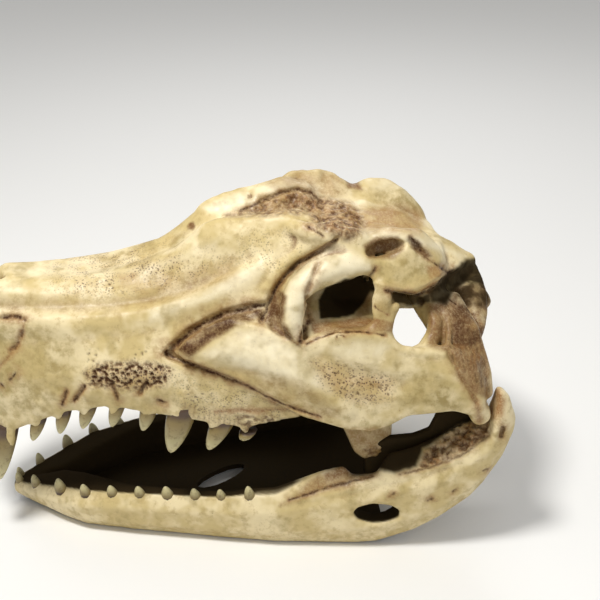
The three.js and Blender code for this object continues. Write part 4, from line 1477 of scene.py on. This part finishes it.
# %% Rows of teeth
# x, y and z of the root, radius, length
FRONT_TEETH = [(31, -23.9, 114.7, 5.5, 16), (43, -35.1, 113.1, 6, 18)]
LOWER_TEETH = [
    (53, -3.2, 22.0, 4.5, 13), (71, -16.8, 27.1, 5, 14), (97, -35.3, 33.8, 6, 15),
    (122, -49.8, 39.3, 5.5, 12), (148, -56.6, 42.2, 5.5, 11), (174, -62.9, 44.4, 5.5, 11),
    (200, -68.3, 45.6, 6, 12), (226, -73.8, 46.8, 5.5, 11), (250, -78.8, 48.0, 5, 11),
    (276, -84.2, 51.1, 5.5, 14),
]
MM_PER_600TH = 0.84                    # millimetres per 600th of the render, at the teeth
upper = [(at(u, v + 3, y + 3), at(tip_u, tip_v, y), width * MM_PER_600TH, -1.5)
         for u, v, y, tip_u, tip_v, width in NEAR_TEETH]
upper += [((x, y, z), (x - 3, y - 1, z - length), radius, -1) for x, y, z, radius, length in FRONT_TEETH]
lower = [((x, y, z), (x - 2, y - 1, z + length), radius, -0.8) for x, y, z, radius, length in LOWER_TEETH]


def tooth_row(teeth):
    """All teeth of one jaw, left and right, as one mesh."""
    corners, faces, along = [], [], []
    for root, tip, radius, bow in teeth:
        for side in (1, -1):
            mirror = np.array([1, side, 1])
            ring, sides, share = tooth(np.array(root) * mirror, np.array(tip) * mirror, radius, bow * side)
            faces += [[len(along) + i for i in face] for face in sides]
            corners.append(ring)
            along += share
    return np.concatenate(corners), faces, along


print(2 * len(upper), "upper and", 2 * len(lower), "lower teeth")

# %% [markdown]
# Everything becomes objects here. The two skins have very many faces, so their corners are
# handed over as whole arrays, which is far quicker than a list. Each piece rides on
# the root, and the imported nodes that the two skins take the place of are hidden.

# %% Pieces
def make_object(name, corners, faces, marks, material):
    """A smooth mesh with its masks, riding on the root."""
    mesh = bpy.data.meshes.new(name)
    if isinstance(faces, np.ndarray):
        mesh.vertices.add(len(corners))
        mesh.vertices.foreach_set("co", to_frame(corners).astype(np.float32).ravel())
        mesh.loops.add(faces.size)
        mesh.loops.foreach_set("vertex_index", faces.astype(np.int32).ravel())
        mesh.polygons.add(len(faces))
        mesh.polygons.foreach_set("loop_start", np.arange(0, faces.size, 4, dtype=np.int32))
        mesh.update(calc_edges=True)
    else:
        mesh.from_pydata(to_frame(corners).tolist(), [], faces)
    mesh.polygons.foreach_set("use_smooth", np.ones(len(mesh.polygons), bool))
    for key, values in marks.items():
        layer = mesh.attributes.new(key, "FLOAT", "POINT")
        layer.data.foreach_set("value", np.asarray(values, np.float32))
    piece = bpy.data.objects.new(name, mesh)
    bpy.context.scene.collection.objects.link(piece)
    mesh.materials.append(material)
    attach(piece, "root")
    print(name, len(mesh.polygons), "faces")
    return piece


cranium = make_object("cranium", head.corners, head.quads, head.masks, bone)
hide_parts(*skull_nodes)
lower_jaw = make_object("lower_jaw", mandible.corners, mandible.quads, mandible.masks, bone)
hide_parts(*jaw_nodes)
for name, teeth in (("upper_teeth", upper), ("lower_teeth", lower)):
    corners, faces, along = tooth_row(teeth)
    make_object(name, corners, faces, {"along": along}, enamel)

# %% [markdown]
# Between the branches of the jaw the cast has a floor of resin, with one opening in it. It is
# plain, so the imported solid is kept as it is and only painted dull and brown-black, as painted shade.

# %% The throat web
def shaded_web_paint():
    t = Tree("painted_shade_web")
    speck = t.noise(300, 4)
    # painted shade: brown-black all over, with faint specks
    t.give(Base_Color=t.blend(speck, linear(34, 27, 14), linear(62, 50, 30)),
           Roughness=t.span(speck, 0.3, 0.7, 0.8, 1.0), Specular_IOR_Level=0.1)
    return t.material


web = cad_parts["throat"].copy()
web.data = web.data.copy()
web.name = "throat_web"
bpy.context.scene.collection.objects.link(web)
web.data.materials.clear()
web.data.materials.append(shaded_web_paint())
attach(web, "root")
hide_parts("throat")
print("throat web", len(web.data.polygons), "faces")
